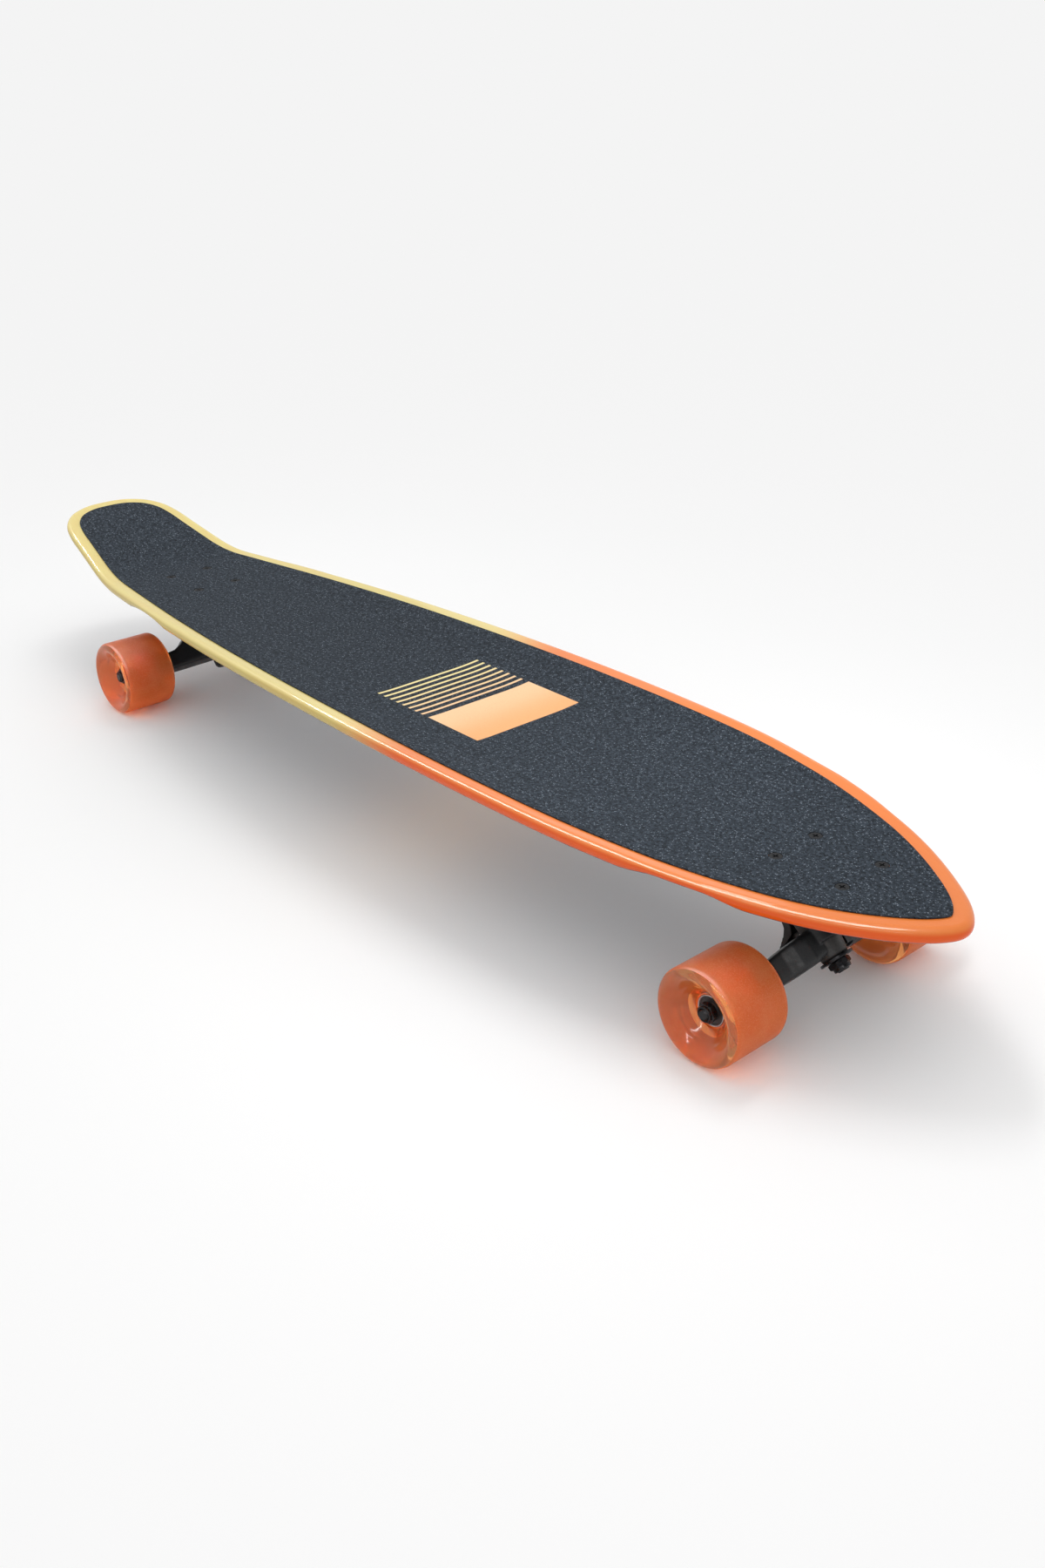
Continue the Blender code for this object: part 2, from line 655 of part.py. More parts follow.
def bolt_mesh():
    """A countersunk truck bolt, hanging down from its head at height 0."""
    land = 0.4 * MM
    cone = land + BOLT_HEAD_RADIUS - BOLT_RADIUS
    return turned("mount_bolt", [(0.0, -BOLT_LENGTH), (BOLT_RADIUS - 0.5 * MM, -BOLT_LENGTH),
                                 (BOLT_RADIUS, -BOLT_LENGTH + 0.5 * MM), (BOLT_RADIUS, -cone),
                                 (BOLT_HEAD_RADIUS, -land), (BOLT_HEAD_RADIUS, 0.0), (0.0, 0.0)], 12)


# Assembly ----------------------------------------------------------------------

def add_piece(name, mesh, material, parent, place=Matrix.Identity(4)):
    """Link one piece to its parent, with its own material."""
    piece = bpy.data.objects.new(name, mesh)
    bpy.context.collection.objects.link(piece)
    piece.parent = parent
    piece.matrix_local = place
    if not mesh.materials:
        mesh.materials.append(material)
    return piece


def add_empty(name, place, parent=None):
    """A named frame for pieces to hang on."""
    empty = bpy.data.objects.new(name, None)
    bpy.context.collection.objects.link(empty)
    empty.parent = parent
    empty.matrix_local = place
    return empty


def truck_meshes():
    """Every truck piece once, for both trucks to share."""
    return {
        "baseplate": baseplate_mesh(),
        "riser_pad": riser_mesh(),
        "hanger": hanger_mesh(),
        "axle": axle_mesh(),
        "axle_nut": moved(hex_nut("axle_nut", 12.7 * MM, AXLE_RADIUS + GAP, AXLE_NUT_HEIGHT, 1.8 * MM),
                          ALONG_Y),
        "pivot_cup": cup_mesh(),
        "kingpin": kingpin_mesh(),
        "kingpin_nut": hex_nut("kingpin_nut", 14.3 * MM, KINGPIN_BORE, KINGPIN_NUT_HEIGHT, 2.6 * MM),
        "bushing_boardside": bushing_mesh("bushing_boardside", 1.0),
        "bushing_roadside": bushing_mesh("bushing_roadside", 0.84),
        "washer_boardside": washer_mesh("washer_boardside"),
        "washer_roadside": washer_mesh("washer_roadside"),
        "mount_bolt": bolt_mesh(),
        "mount_nut": hex_nut("mount_nut", 9.5 * MM, BOLT_RADIUS + GAP, NUT_HEIGHT, 1.6 * MM),
        "tyre": tyre_mesh(),
        "core": core_mesh(),
        "bearing": bearing_mesh(),
    }


def add_wheel(end, side, side_sign, shapes, finishes, hanger):
    """One wheel on the left or right end of a hanger's axle."""
    turn = Matrix.Identity(4) if side_sign > 0 else Matrix.Rotation(math.pi, 4, "Z")
    wheel = add_empty(f"wheel_{end}_{side}", turn, hanger)
    outer = Matrix.Translation((0.0, OUTER_BEARING_Y, 0.0))
    inner = Matrix.Translation((0.0, INNER_BEARING_Y, 0.0))
    add_piece(f"tyre_{end}_{side}", shapes["tyre"], finishes["urethane"], wheel)
    add_piece(f"core_{end}_{side}", shapes["core"], finishes["core"], wheel)
    add_piece(f"bearing_inner_{end}_{side}", shapes["bearing"], finishes["bearing"], wheel, inner)
    add_piece(f"bearing_outer_{end}_{side}", shapes["bearing"], finishes["bearing"], wheel, outer)
    add_piece(f"axle_nut_{end}_{side}", shapes["axle_nut"], finishes["steel_black"], wheel,
              Matrix.Translation((0.0, AXLE_NUT_Y, 0.0)))


def add_truck(end, x, turn, shapes, finishes):
    """One truck, its two wheels and its four bolts."""
    place = Matrix.Translation((x, 0.0, 0.0))
    if turn < 0:
        place = place @ Matrix.Rotation(math.pi, 4, "Z")
    truck = add_empty(f"truck_{end}", place)
    steer = add_empty(f"steer_{end}", STEER_TO_TRUCK, truck)
    axle_place = Matrix.Translation((AXLE_X, 0.0, AXLE_Z))
    axle_frame = add_empty(f"axle_frame_{end}", STEER_TO_TRUCK.inverted() @ axle_place, steer)
    flip = Matrix.Rotation(math.pi, 4, "X")

    def up(height):
        return Matrix.Translation((0.0, 0.0, height))

    def down(height):
        return Matrix.Translation((0.0, 0.0, -height)) @ flip

    add_piece(f"baseplate_{end}", shapes["baseplate"], finishes["truck_black"], truck)
    add_piece(f"riser_pad_{end}", shapes["riser_pad"], finishes["rubber"], truck)
    add_piece(f"pivot_cup_{end}", shapes["pivot_cup"], finishes["rubber"], steer)
    add_piece(f"kingpin_{end}", shapes["kingpin"], finishes["steel_black"], steer)
    add_piece(f"kingpin_nut_{end}", shapes["kingpin_nut"], finishes["steel_black"], steer, down(STACK_END))
    add_piece(f"washer_boardside_{end}", shapes["washer_boardside"], finishes["steel_black"], steer,
              up(WASHER_START))
    add_piece(f"washer_roadside_{end}", shapes["washer_roadside"], finishes["steel_black"], steer,
              down(WASHER_START))
    add_piece(f"bushing_boardside_{end}", shapes["bushing_boardside"], finishes["bushing"], steer,
              up(BUSHING_START))
    add_piece(f"bushing_roadside_{end}", shapes["bushing_roadside"], finishes["bushing"], steer,
              down(BUSHING_START))
    add_piece(f"hanger_{end}", shapes["hanger"], finishes["truck_black"], steer)
    add_piece(f"axle_{end}", shapes["axle"], finishes["steel_black"], axle_frame)
    left_sign = turn
    add_wheel(end, "left", left_sign, shapes, finishes, axle_frame)
    add_wheel(end, "right", -left_sign, shapes, finishes, axle_frame)
    for number, bolt_x, bolt_y in BOLT_PLACES:
        add_piece(f"mount_bolt_{end}_{number}", shapes["mount_bolt"], finishes["steel_black"], truck,
                  Matrix.Translation((bolt_x, bolt_y, BOLT_TOP)))
        add_piece(f"mount_nut_{end}_{number}", shapes["mount_nut"], finishes["steel_black"], truck,
                  Matrix.Translation((bolt_x, bolt_y, PLATE_BOTTOM - GAP)) @ flip)


def build():
    """Clear the scene and build the board."""
    for old in list(bpy.data.objects):
        bpy.data.objects.remove(old)
    finishes = {
        "deck": make_material("deck_paint", (0.80, 0.36, 0.10), 0.25),
        "grip": make_material("grip_tape", (0.060, 0.070, 0.085), 0.85),
        "truck_black": make_material("truck_black", (0.012, 0.012, 0.013), 0.45, 0.3),
        "steel_black": make_material("black_steel", (0.020, 0.020, 0.022), 0.35, 0.9),
        "rubber": make_material("black_rubber", (0.015, 0.015, 0.016), 0.7),
        "bushing": make_material("bushing_urethane", (0.03, 0.03, 0.032), 0.5),
        "urethane": make_material("wheel_urethane", (0.58, 0.16, 0.05), 0.35),
        "core": make_material("core_plastic", (0.50, 0.16, 0.06), 0.4),
        "bearing": make_material("bearing_steel", (0.25, 0.25, 0.26), 0.3, 0.9),
    }
    board = add_empty("board", Matrix.Identity(4))
    add_piece("deck", deck_mesh(), finishes["deck"], board)
    add_piece("grip_tape", grip_mesh(), finishes["grip"], board)
    shapes = truck_meshes()
    add_truck("front", FRONT_TRUCK_X, 1, shapes, finishes)
    add_truck("rear", REAR_TRUCK_X, -1, shapes, finishes)


build()
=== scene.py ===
"""Longboard skateboard: detailed pieces, materials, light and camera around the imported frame."""

import json
import math

import bmesh
import bpy
from mathutils import Matrix, Vector


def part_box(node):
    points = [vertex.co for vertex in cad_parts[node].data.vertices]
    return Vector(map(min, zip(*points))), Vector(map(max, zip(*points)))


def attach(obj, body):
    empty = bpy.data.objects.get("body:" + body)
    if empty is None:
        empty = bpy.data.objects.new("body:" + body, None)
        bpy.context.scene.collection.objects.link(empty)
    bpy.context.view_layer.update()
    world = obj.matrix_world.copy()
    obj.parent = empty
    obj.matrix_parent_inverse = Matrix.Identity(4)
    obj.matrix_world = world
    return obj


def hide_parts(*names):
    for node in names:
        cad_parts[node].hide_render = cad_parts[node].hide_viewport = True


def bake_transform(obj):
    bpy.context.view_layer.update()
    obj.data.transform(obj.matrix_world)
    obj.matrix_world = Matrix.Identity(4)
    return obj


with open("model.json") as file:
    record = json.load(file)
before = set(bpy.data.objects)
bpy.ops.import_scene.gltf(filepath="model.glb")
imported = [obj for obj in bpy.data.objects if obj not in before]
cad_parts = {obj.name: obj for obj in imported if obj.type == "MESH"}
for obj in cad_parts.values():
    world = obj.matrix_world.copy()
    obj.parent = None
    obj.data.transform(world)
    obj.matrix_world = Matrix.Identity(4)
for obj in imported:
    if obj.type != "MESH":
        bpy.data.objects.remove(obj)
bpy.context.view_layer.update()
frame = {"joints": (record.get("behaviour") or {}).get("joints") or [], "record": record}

MM = 0.001
GAP = 0.3 * MM
SHARP_ANGLE = math.radians(35)
IDENTITY = Matrix.Identity(4)
ALONG_X = Matrix.Rotation(math.radians(90), 4, "Y")
ALONG_Y = Matrix.Rotation(math.radians(-90), 4, "X")
FLIP = Matrix.Rotation(math.pi, 4, "X")
HALF_TURN = Matrix.Rotation(math.pi, 4, "Z")
ENDS = ("front", "rear")
SIDES = ("left", "right")


# --- What the frame says

def centre(node):
    """The middle of a CAD node's box."""
    low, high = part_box(node)
    return (low + high) / 2


MOUNTS = {mount["name"]: Vector(mount["pos_m"]) for mount in frame["record"]["mounts"]}
JOINTS = {joint["name"]: joint for joint in frame["joints"]}
GRIP_TOP = MOUNTS["standing_surface"].z
DECK_BOTTOM = MOUNTS["deck_underside"].z
PLATE_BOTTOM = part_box("mount_nut_front_1")[1].z + GAP
PLATE_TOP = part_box("baseplate_front")[1].z


def truck_frame(end):
    """The truck's own frame: its bolt pattern's middle at floor level, +X outboard."""
    middle = (centre(f"mount_bolt_{end}_1") + centre(f"mount_bolt_{end}_3")) / 2
    place = Matrix.Translation((middle.x, 0.0, 0.0))
    return place if end == "front" else place @ HALF_TURN


def steer_frame(end):
    """The steering frame: origin in the hanger ring, X along the axis, Z up the kingpin."""
    joint = JOINTS[f"steer_{end}"]
    axis = Vector(joint["axis"]).normalized()
    side = Vector((0.0, math.copysign(1.0, axis.x), 0.0))
    up = axis.cross(side)
    matrix = Matrix((axis, side, up)).transposed().to_4x4()
    matrix.translation = Vector(joint["pos_m"])
    return matrix


def axle_frame(end):
    """The middle of the axle, turned as its truck is."""
    place = Matrix.Translation(centre(f"axle_{end}"))
    return place if end == "front" else place @ HALF_TURN


# The front truck's steering frame as its truck frame sees it.
STEER_IN_TRUCK = truck_frame("front").inverted() @ steer_frame("front")


# --- Sizes

GRIP_THICKNESS = 0.8 * MM
GRIP_GAP = 0.4 * MM
DECK_TOP = GRIP_TOP - GRIP_THICKNESS - GRIP_GAP
EDGE_RADIUS = (DECK_TOP - DECK_BOTTOM) / 2
GRIP_INSET = 13.4 * MM

# Half-widths of the deck's outer edge at stations from nose to tail, in millimetres.
DECK_OUTLINE = [
    (546.0, 0.0), (539.5, 16.0), (522.0, 34.0), (493.0, 54.5), (463.0, 70.7),
    (431.0, 83.4), (390.0, 95.7), (349.0, 104.3), (287.0, 112.6), (207.0, 116.4),
    (126.0, 117.5), (46.0, 116.5), (-54.0, 112.9), (-155.0, 106.8), (-255.0, 97.4),
    (-355.0, 84.8), (-397.0, 78.9), (-435.0, 73.4), (-472.0, 67.9), (-499.0, 63.8),
    (-519.0, 57.2), (-535.0, 43.5), (-544.0, 23.0), (-546.0, 0.0),]
OUTLINE_STEPS = 6
ACROSS_STEPS = 26
RIM_STEPS = 12

FLAT_HALF_WIDTH = 30.0 * MM
CONCAVE = 1.5
KICK_START = -384.0 * MM
KICK_BLEND = 50.0 * MM
KICK_SLOPE = 0.30
WELL_DEPTH = 4.0 * MM
WELL_HALF_LENGTH = 45.0 * MM
WELL_INBOARD = 40.0 * MM
WELL_INNER = 48.0 * MM
WELL_OUTER = 72.0 * MM

BOLT_HALF_LENGTH = 27.0 * MM
BOLT_HALF_WIDTH = 20.64 * MM
BOLT_TOP = GRIP_TOP - 0.2 * MM
BOLT_LENGTH = 31.75 * MM
BOLT_RADIUS = 2.4 * MM
BOLT_HEAD_RADIUS = 4.5 * MM
BOLT_HEAD_HOLE_RADIUS = BOLT_HEAD_RADIUS + 0.4 * MM
BOLT_HOLE_RADIUS = 2.75 * MM
BOLT_THREAD_START = 13.0 * MM
BOLT_PITCH = 0.8 * MM
BOLT_PLACES = {"1": (BOLT_HALF_LENGTH, -BOLT_HALF_WIDTH), "2": (BOLT_HALF_LENGTH, BOLT_HALF_WIDTH),
    "3": (-BOLT_HALF_LENGTH, BOLT_HALF_WIDTH),
    "4": (-BOLT_HALF_LENGTH, -BOLT_HALF_WIDTH),}

RISER_THICKNESS = 3.0 * MM
PLATE_BACK = -46.0 * MM
PLATE_FRONT = 40.0 * MM
PLATE_HALF_WIDTH = 28.5 * MM
PLATE_CORNER = 7.0 * MM
WEDGE_HALF_WIDTH = 12.5 * MM
LEG_HALF_WIDTH = 6.5 * MM

RING_RADIUS = 15.0 * MM
RING_HALF_THICKNESS = 4.5 * MM
RING_BORE = 7.5 * MM
RING_RIM = 1.6 * MM
BUSHING_RADIUS = 11.5 * MM
BUSHING_HEIGHT = 14.0 * MM
BUSHING_START = RING_HALF_THICKNESS + GAP
WASHER_START = BUSHING_START + BUSHING_HEIGHT + GAP
WASHER_THICKNESS = 1.5 * MM
STACK_END = WASHER_START + WASHER_THICKNESS + GAP
KINGPIN_RADIUS = 4.75 * MM
KINGPIN_BORE = KINGPIN_RADIUS + 0.35 * MM
KINGPIN_NUT_HEIGHT = 7.0 * MM
HEAD_START = STACK_END + 9.0 * MM + GAP
HEAD_HEIGHT = 6.0 * MM
HEAD_POCKET_RADIUS = 8.7 * MM
BOSS_START = 28.3 * MM
BOSS_END = 37.5 * MM
BOSS_RADIUS = 8.6 * MM
CUP_RADIUS = 7.0 * MM
CUP_START = 28.6 * MM
CUP_END = 36.2 * MM
PIN_END = 35.0 * MM
RELIEF_RADIUS = 17.2 * MM
RELIEF_START = 14.5 * MM

# Hanger sections across the truck, in millimetres in the steering frame:
# distance from the middle, lowest and highest X, lowest and highest Z.
HANGER_SECTIONS = [
    (75.7, -24.6, -10.6, -14.0, 0.0), (72.0, -26.2, -9.0, -15.6, 1.6),
    (52.0, -26.6, -8.8, -16.2, 2.2), (44.0, -26.6, -7.8, -16.4, 2.6),
    (36.0, -26.6, -3.8, -16.6, 3.6), (29.0, -26.5, 2.0, -16.6, 4.6),
    (20.0, -26.5, 7.0, -16.4, 5.6), (0.0, -26.5, 8.0, -15.0, 5.8),]
SECTION_SIDES = 40
SECTION_SQUARENESS = 0.30
CASTING_VOXEL = 0.7 * MM
CASTING_ROUNDS = 3

MOUNT_NUT_FLATS = 9.5 * MM
KINGPIN_NUT_FLATS = 14.3 * MM
KINGPIN_HEAD_FLATS = 14.0 * MM
AXLE_NUT_FLATS = 12.7 * MM

AXLE_RADIUS = 4.0 * MM
AXLE_HALF_LENGTH = 108.0 * MM
AXLE_THREAD_START = 98.0 * MM
AXLE_PITCH = 1.06 * MM
HANGER_END = 75.7 * MM
INNER_BEARING_Y = 76.5 * MM
OUTER_BEARING_Y = 93.5 * MM
BEARING_WIDTH = 7.0 * MM
BEARING_RADIUS = 11.0 * MM
AXLE_NUT_Y = 101.3 * MM
AXLE_NUT_HEIGHT = 6.0 * MM
SPEED_RING = 0.7 * MM

WHEEL_RADIUS = 35.0 * MM
WHEEL_INNER_FACE = 63.4 * MM
WHEEL_OUTER_FACE = 115.7 * MM
WHEEL_LIP = 5.5 * MM
WHEEL_THROAT = 12.2 * MM
CORE_RADIUS = 19.0 * MM
CORE_WINDOWS = 14
WINDOW_INNER = 13.6 * MM
WINDOW_OUTER = 17.6 * MM
WINDOW_DEPTH = 8.5 * MM
WINDOW_SHARE = 0.66
TREAD_DEPTH = 1.3 * MM


# --- Mesh tools

def shade(mesh):
    """Smooth shading that keeps real corners sharp."""
    mesh.shade_smooth()
    mesh.set_sharp_from_angle(angle=SHARP_ANGLE)
    return mesh


def to_mesh(shape, name):
    """Turn a bmesh into a mesh whose faces point out."""
    bmesh.ops.recalc_face_normals(shape, faces=shape.faces)
    mesh = bpy.data.meshes.new(name)
    shape.to_mesh(mesh)
    shape.free()
    return shade(mesh)


def polar(radius, angle, height):
    """A point at a radius and an angle round Z."""
    return (radius * math.cos(angle), radius * math.sin(angle), height)


def loft(shape, rings):
    """Skin a row of equal rings of vertices and close both ends."""
    for first, second in zip(rings, rings[1:]):
        for side in range(len(first)):
            following = (side + 1) % len(first)
            shape.faces.new([first[side], first[following], second[following], second[side]])
    shape.faces.new(rings[0])
    shape.faces.new(rings[-1])


def turned(name, profile, sides):
    """A closed profile of (radius, height) turned about Z; radius 0 at both ends makes a bar."""
    shape = bmesh.new()
    angles = [2 * math.pi * side / sides for side in range(sides)]
    rings = []
    for radius, height in profile:
        if radius == 0.0:
            rings.append([shape.verts.new((0.0, 0.0, height))])
        else:
            rings.append([shape.verts.new(polar(radius, a, height)) for a in angles])
    pairs = list(zip(rings, rings[1:]))
    if profile[0][0] != 0.0:
        pairs.append((rings[-1], rings[0]))
    for lower, upper in pairs:
        for side in range(sides):
            following = (side + 1) % sides
            corners = [lower[side % len(lower)], lower[following % len(lower)],
                upper[following % len(upper)], upper[side % len(upper)]]
            shape.faces.new(list(dict.fromkeys(corners)))
    return to_mesh(shape, name)


def ring(name, inner, outer, low, high, sides=48, ease=0.15 * MM):
    """A flat ring with eased corners."""
    return turned(name, [(inner, low + ease), (inner + ease, low), (outer - ease, low),
        (outer, low + ease), (outer, high - ease), (outer - ease, high),
        (inner + ease, high), (inner, high - ease)], sides)


def bar(name, radius, low, high, sides=48):
    """A plain round bar."""
    return turned(name, [(0.0, low), (radius, low), (radius, high), (0.0, high)], sides)


def arc(middle, radius, start, end, steps):
    """Points of an arc in the (radius, height) plane, angles in degrees."""
    points = []
    for step in range(steps + 1):
        angle = math.radians(start + (end - start) * step / steps)
        points.append((middle[0] + radius * math.cos(angle), middle[1] + radius * math.sin(angle)))
    return points


def thread(radius, depth, start, end, pitch):
    """Ridges of a screw thread between two heights, as (radius, height) points."""
    direction = math.copysign(1.0, end - start)
    points = []
    for turn in range(int(abs(end - start) / pitch)):
        height = start + direction * turn * pitch
        points += [(radius, height), (radius - depth, height + direction * pitch / 2)]
    return points


def carried(mesh, matrix):
    """The same mesh, carried by a matrix."""
    mesh.transform(matrix)
    return mesh


def prism(name, outline, half_width):
    """An (x, z) outline extruded to both sides of the XZ plane."""
    shape = bmesh.new()
    face = shape.faces.new([shape.verts.new((x, -half_width, z)) for x, z in outline])
    made = bmesh.ops.extrude_face_region(shape, geom=[face])
    far_side = [item for item in made["geom"] if isinstance(item, bmesh.types.BMVert)]
    bmesh.ops.translate(shape, verts=far_side, vec=(0.0, 2 * half_width, 0.0))
    return to_mesh(shape, name)


def box_shape(low, high):
    """A box between two corners, as a bmesh."""
    shape = bmesh.new()
    bmesh.ops.create_cube(shape, size=1.0)
    bmesh.ops.scale(shape, verts=shape.verts, vec=Vector(high) - Vector(low))
    bmesh.ops.translate(shape, verts=shape.verts, vec=(Vector(high) + Vector(low)) / 2)
    return shape


def block(name, low, high):
    """A box between two corners, as a mesh."""
    return to_mesh(box_shape(low, high), name)


def rounded_plate(name, low, high, corner, ease):
    """A plate with round corners and eased edges, between two corners."""
    shape = box_shape(low, high)
    upright = [e for e in shape.edges if abs(e.verts[0].co.z - e.verts[1].co.z) > GAP]
    bmesh.ops.bevel(shape, geom=upright, offset=corner, segments=10, affect="EDGES")
    if ease > 0.0:
        flat = [e for e in shape.edges if abs(e.verts[0].co.z - e.verts[1].co.z) < GAP
            and any(abs(f.normal.z) < 0.5 for f in e.link_faces)]
        bmesh.ops.bevel(shape, geom=flat, offset=ease, segments=3, affect="EDGES")
    return to_mesh(shape, name)


def new_object(name, data):
    """An object in the scene that shows the data."""
    made = bpy.data.objects.new(name, data)
    bpy.context.scene.collection.objects.link(made)
    return made


def evaluated_mesh(helper, name):
    """A helper's mesh with its modifiers applied. The helper is removed."""
    result = bpy.data.meshes.new_from_object(
        helper.evaluated_get(bpy.context.evaluated_depsgraph_get()))
    result.name = name
    result.materials.clear()
    bpy.data.objects.remove(helper)
    return shade(result)


def combine(name, base, joined=(), cut=(), common=()):
    """Join meshes to a base, keep what it has in common with others, and cut the rest away."""
    target = new_object("helper", base)
    others = []
    for operation, meshes in (("UNION", joined), ("INTERSECT", common), ("DIFFERENCE", cut)):
        for mesh in meshes:
            others.append(new_object("helper", mesh))
            modifier = target.modifiers.new(operation.title(), "BOOLEAN")
            modifier.operation = operation
            modifier.solver = "EXACT"
            modifier.object = others[-1]
    result = evaluated_mesh(target, name)
    for other in others:
        bpy.data.objects.remove(other)
    return result


def cast(name, meshes, voxel=CASTING_VOXEL, rounds=CASTING_ROUNDS):
    """Overlapping solids melted into one casting with soft corners."""
    shape = bmesh.new()
    for mesh in meshes:
        shape.from_mesh(mesh)
    helper = new_object("helper", to_mesh(shape, name))
    remesh = helper.modifiers.new("Remesh", "REMESH")
    remesh.mode = "VOXEL"
    remesh.voxel_size = voxel
    smooth = helper.modifiers.new("Smooth", "SMOOTH")
    smooth.factor = 0.5
    smooth.iterations = rounds
    return evaluated_mesh(helper, name)


def two_materials(mesh, first, second, in_second):
    """Give a mesh one material, and a second where a face's middle passes a test."""
    mesh.materials.clear()
    mesh.materials.append(first)
    mesh.materials.append(second)
    for face in mesh.polygons:
        face.material_index = 1 if in_second(face.center) else 0
    return mesh


def add_piece(name, mesh, material, body, place=IDENTITY, replaces=()):
    """Show one piece that rides on a CAD body."""
    piece = new_object(name, mesh)
    piece.matrix_world = place
    if not mesh.materials:
        mesh.materials.append(material)
    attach(piece, body)
    if replaces:
        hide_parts(*replaces)
    return piece


# --- Material tools

class Surface:
    """A Principled material and the nodes that feed it."""

    def __init__(self, name, roughness, **sockets):
        self.material = bpy.data.materials.new(name)
        self.material.use_nodes = True
        self.tree = self.material.node_tree
        self.shader = self.tree.nodes["Principled BSDF"]
        self.shader.inputs["Roughness"].default_value = roughness
        for socket, value in sockets.items():
            self.shader.inputs[socket.replace("_", " ")].default_value = value

    def node(self, kind, sockets=(), **settings):
        made = self.tree.nodes.new(kind)
        for setting, value in settings.items():
            setattr(made, setting, value)
        for key, value in dict(sockets).items():
            if isinstance(value, bpy.types.NodeSocket):
                self.tree.links.new(value, made.inputs[key])
            else:
                made.inputs[key].default_value = value
        return made

    def place(self, output="Object"):
        return self.node("ShaderNodeTexCoord").outputs[output]

    def parts(self, vector):
        return self.node("ShaderNodeSeparateXYZ", {0: vector}).outputs

    def calc(self, operation, first, second=0.0, third=0.0):
        sockets = {0: first, 1: second, 2: third}
        return self.node("ShaderNodeMath", sockets, operation=operation).outputs[0]

    def fit(self, value, low, high, to_low=0.0, to_high=1.0):
        """Map a value from one range to another, smooth and clamped."""
        return self.node("ShaderNodeMapRange", {0: value, 1: low, 2: high, 3: to_low, 4: to_high},
            interpolation_type="SMOOTHSTEP").outputs[0]

    def noise(self, scale, detail=2.0, roughness=0.5, vector=None):
        return self.node("ShaderNodeTexNoise",
            {"Vector": vector or self.place(), "Scale": scale, "Detail": detail,
            "Roughness": roughness}).outputs["Fac"]

    def stretched(self, scale, detail, stretch):
        """Noise on coordinates that are scaled along each axis."""
        where = self.node("ShaderNodeMapping", {"Vector": self.place(), "Scale": stretch})
        return self.noise(scale, detail, vector=where.outputs[0])

    def mix(self, factor, first, second):
        """Blend two colours."""
        sockets = {0: factor, 6: self.colour(first), 7: self.colour(second)}
        return self.node("ShaderNodeMix", sockets, data_type="RGBA").outputs[2]

    @staticmethod
    def colour(value):
        return value if isinstance(value, bpy.types.NodeSocket) else (*value, 1.0)

    def paint(self, value):
        """Set the base colour, by a colour or a node."""
        if isinstance(value, bpy.types.NodeSocket):
            self.tree.links.new(value, self.shader.inputs["Base Color"])
        else:
            self.shader.inputs["Base Color"].default_value = (*value, 1.0)

    def rough(self, value):
        self.tree.links.new(value, self.shader.inputs["Roughness"])

    def bump(self, height, distance, strength=1.0):
        """Raise the surface by a height from 0 to 1 over a distance in metres."""
        made = self.node("ShaderNodeBump", {"Strength": strength, "Distance": distance,
            "Height": height})
        self.tree.links.new(made.outputs["Normal"], self.shader.inputs["Normal"])


# --- Deck

def surface_lift(x, y):
    """Height of the top surface above its flat middle: concave plus kicktail."""
    across = max(abs(y) - FLAT_HALF_WIDTH, 0.0)
    along = KICK_START - x
    if along <= 0.0:
        kick = 0.0
    elif along < KICK_BLEND:
        kick = 0.5 * KICK_SLOPE * along * along / KICK_BLEND
    else:
        kick = KICK_SLOPE * (along - KICK_BLEND / 2)
    return CONCAVE * across * across + kick


def smooth_step(value):
    """0 below 0, 1 above 1, smooth between."""
    value = min(max(value, 0.0), 1.0)
    return value * value * (3.0 - 2.0 * value)


WELL_CENTRES = (centre("axle_front").x - WELL_INBOARD, centre("axle_rear").x + WELL_INBOARD)


def well_depth(x, y):
    """How much thinner the underside is, in the four wheel wells."""
    across = smooth_step((abs(y) - WELL_INNER) / (WELL_OUTER - WELL_INNER))
    nearest = min(abs(x - well) for well in WELL_CENTRES)
    return WELL_DEPTH * across * smooth_step(1.5 - 1.5 * nearest / WELL_HALF_LENGTH)


def outline_points():
    """The outer edge from nose to tail on the left side, with outward normals."""
    right = [(x * MM, -y * MM) for x, y in DECK_OUTLINE[2:0:-1]]
    left = [(x * MM, y * MM) for x, y in DECK_OUTLINE]
    tail = [(x * MM, -y * MM) for x, y in DECK_OUTLINE[-2:-4:-1]]
    control = [Vector(p) for p in right + left + tail]
    points = []
    for index in range(len(right), len(right) + len(left) - 1):
        before, start, end, after = control[index - 1:index + 3]
        for step in range(OUTLINE_STEPS):
            t = step / OUTLINE_STEPS
            points.append(0.5 * (2 * start + (end - before) * t
                + (2 * before - 5 * start + 4 * end - after) * t * t
                + (3 * start - before - 3 * end + after) * t * t * t))
    points.append(Vector(left[-1]))
    mirrored_start = Vector((points[1].x, -points[1].y))
    mirrored_end = Vector((points[-2].x, -points[-2].y))
    padded = [mirrored_start, *points, mirrored_end]
    result = []
    for index, point in enumerate(points):
        along = (padded[index + 2] - padded[index]).normalized()
        result.append((point, Vector((along.y, -along.x))))
    return result


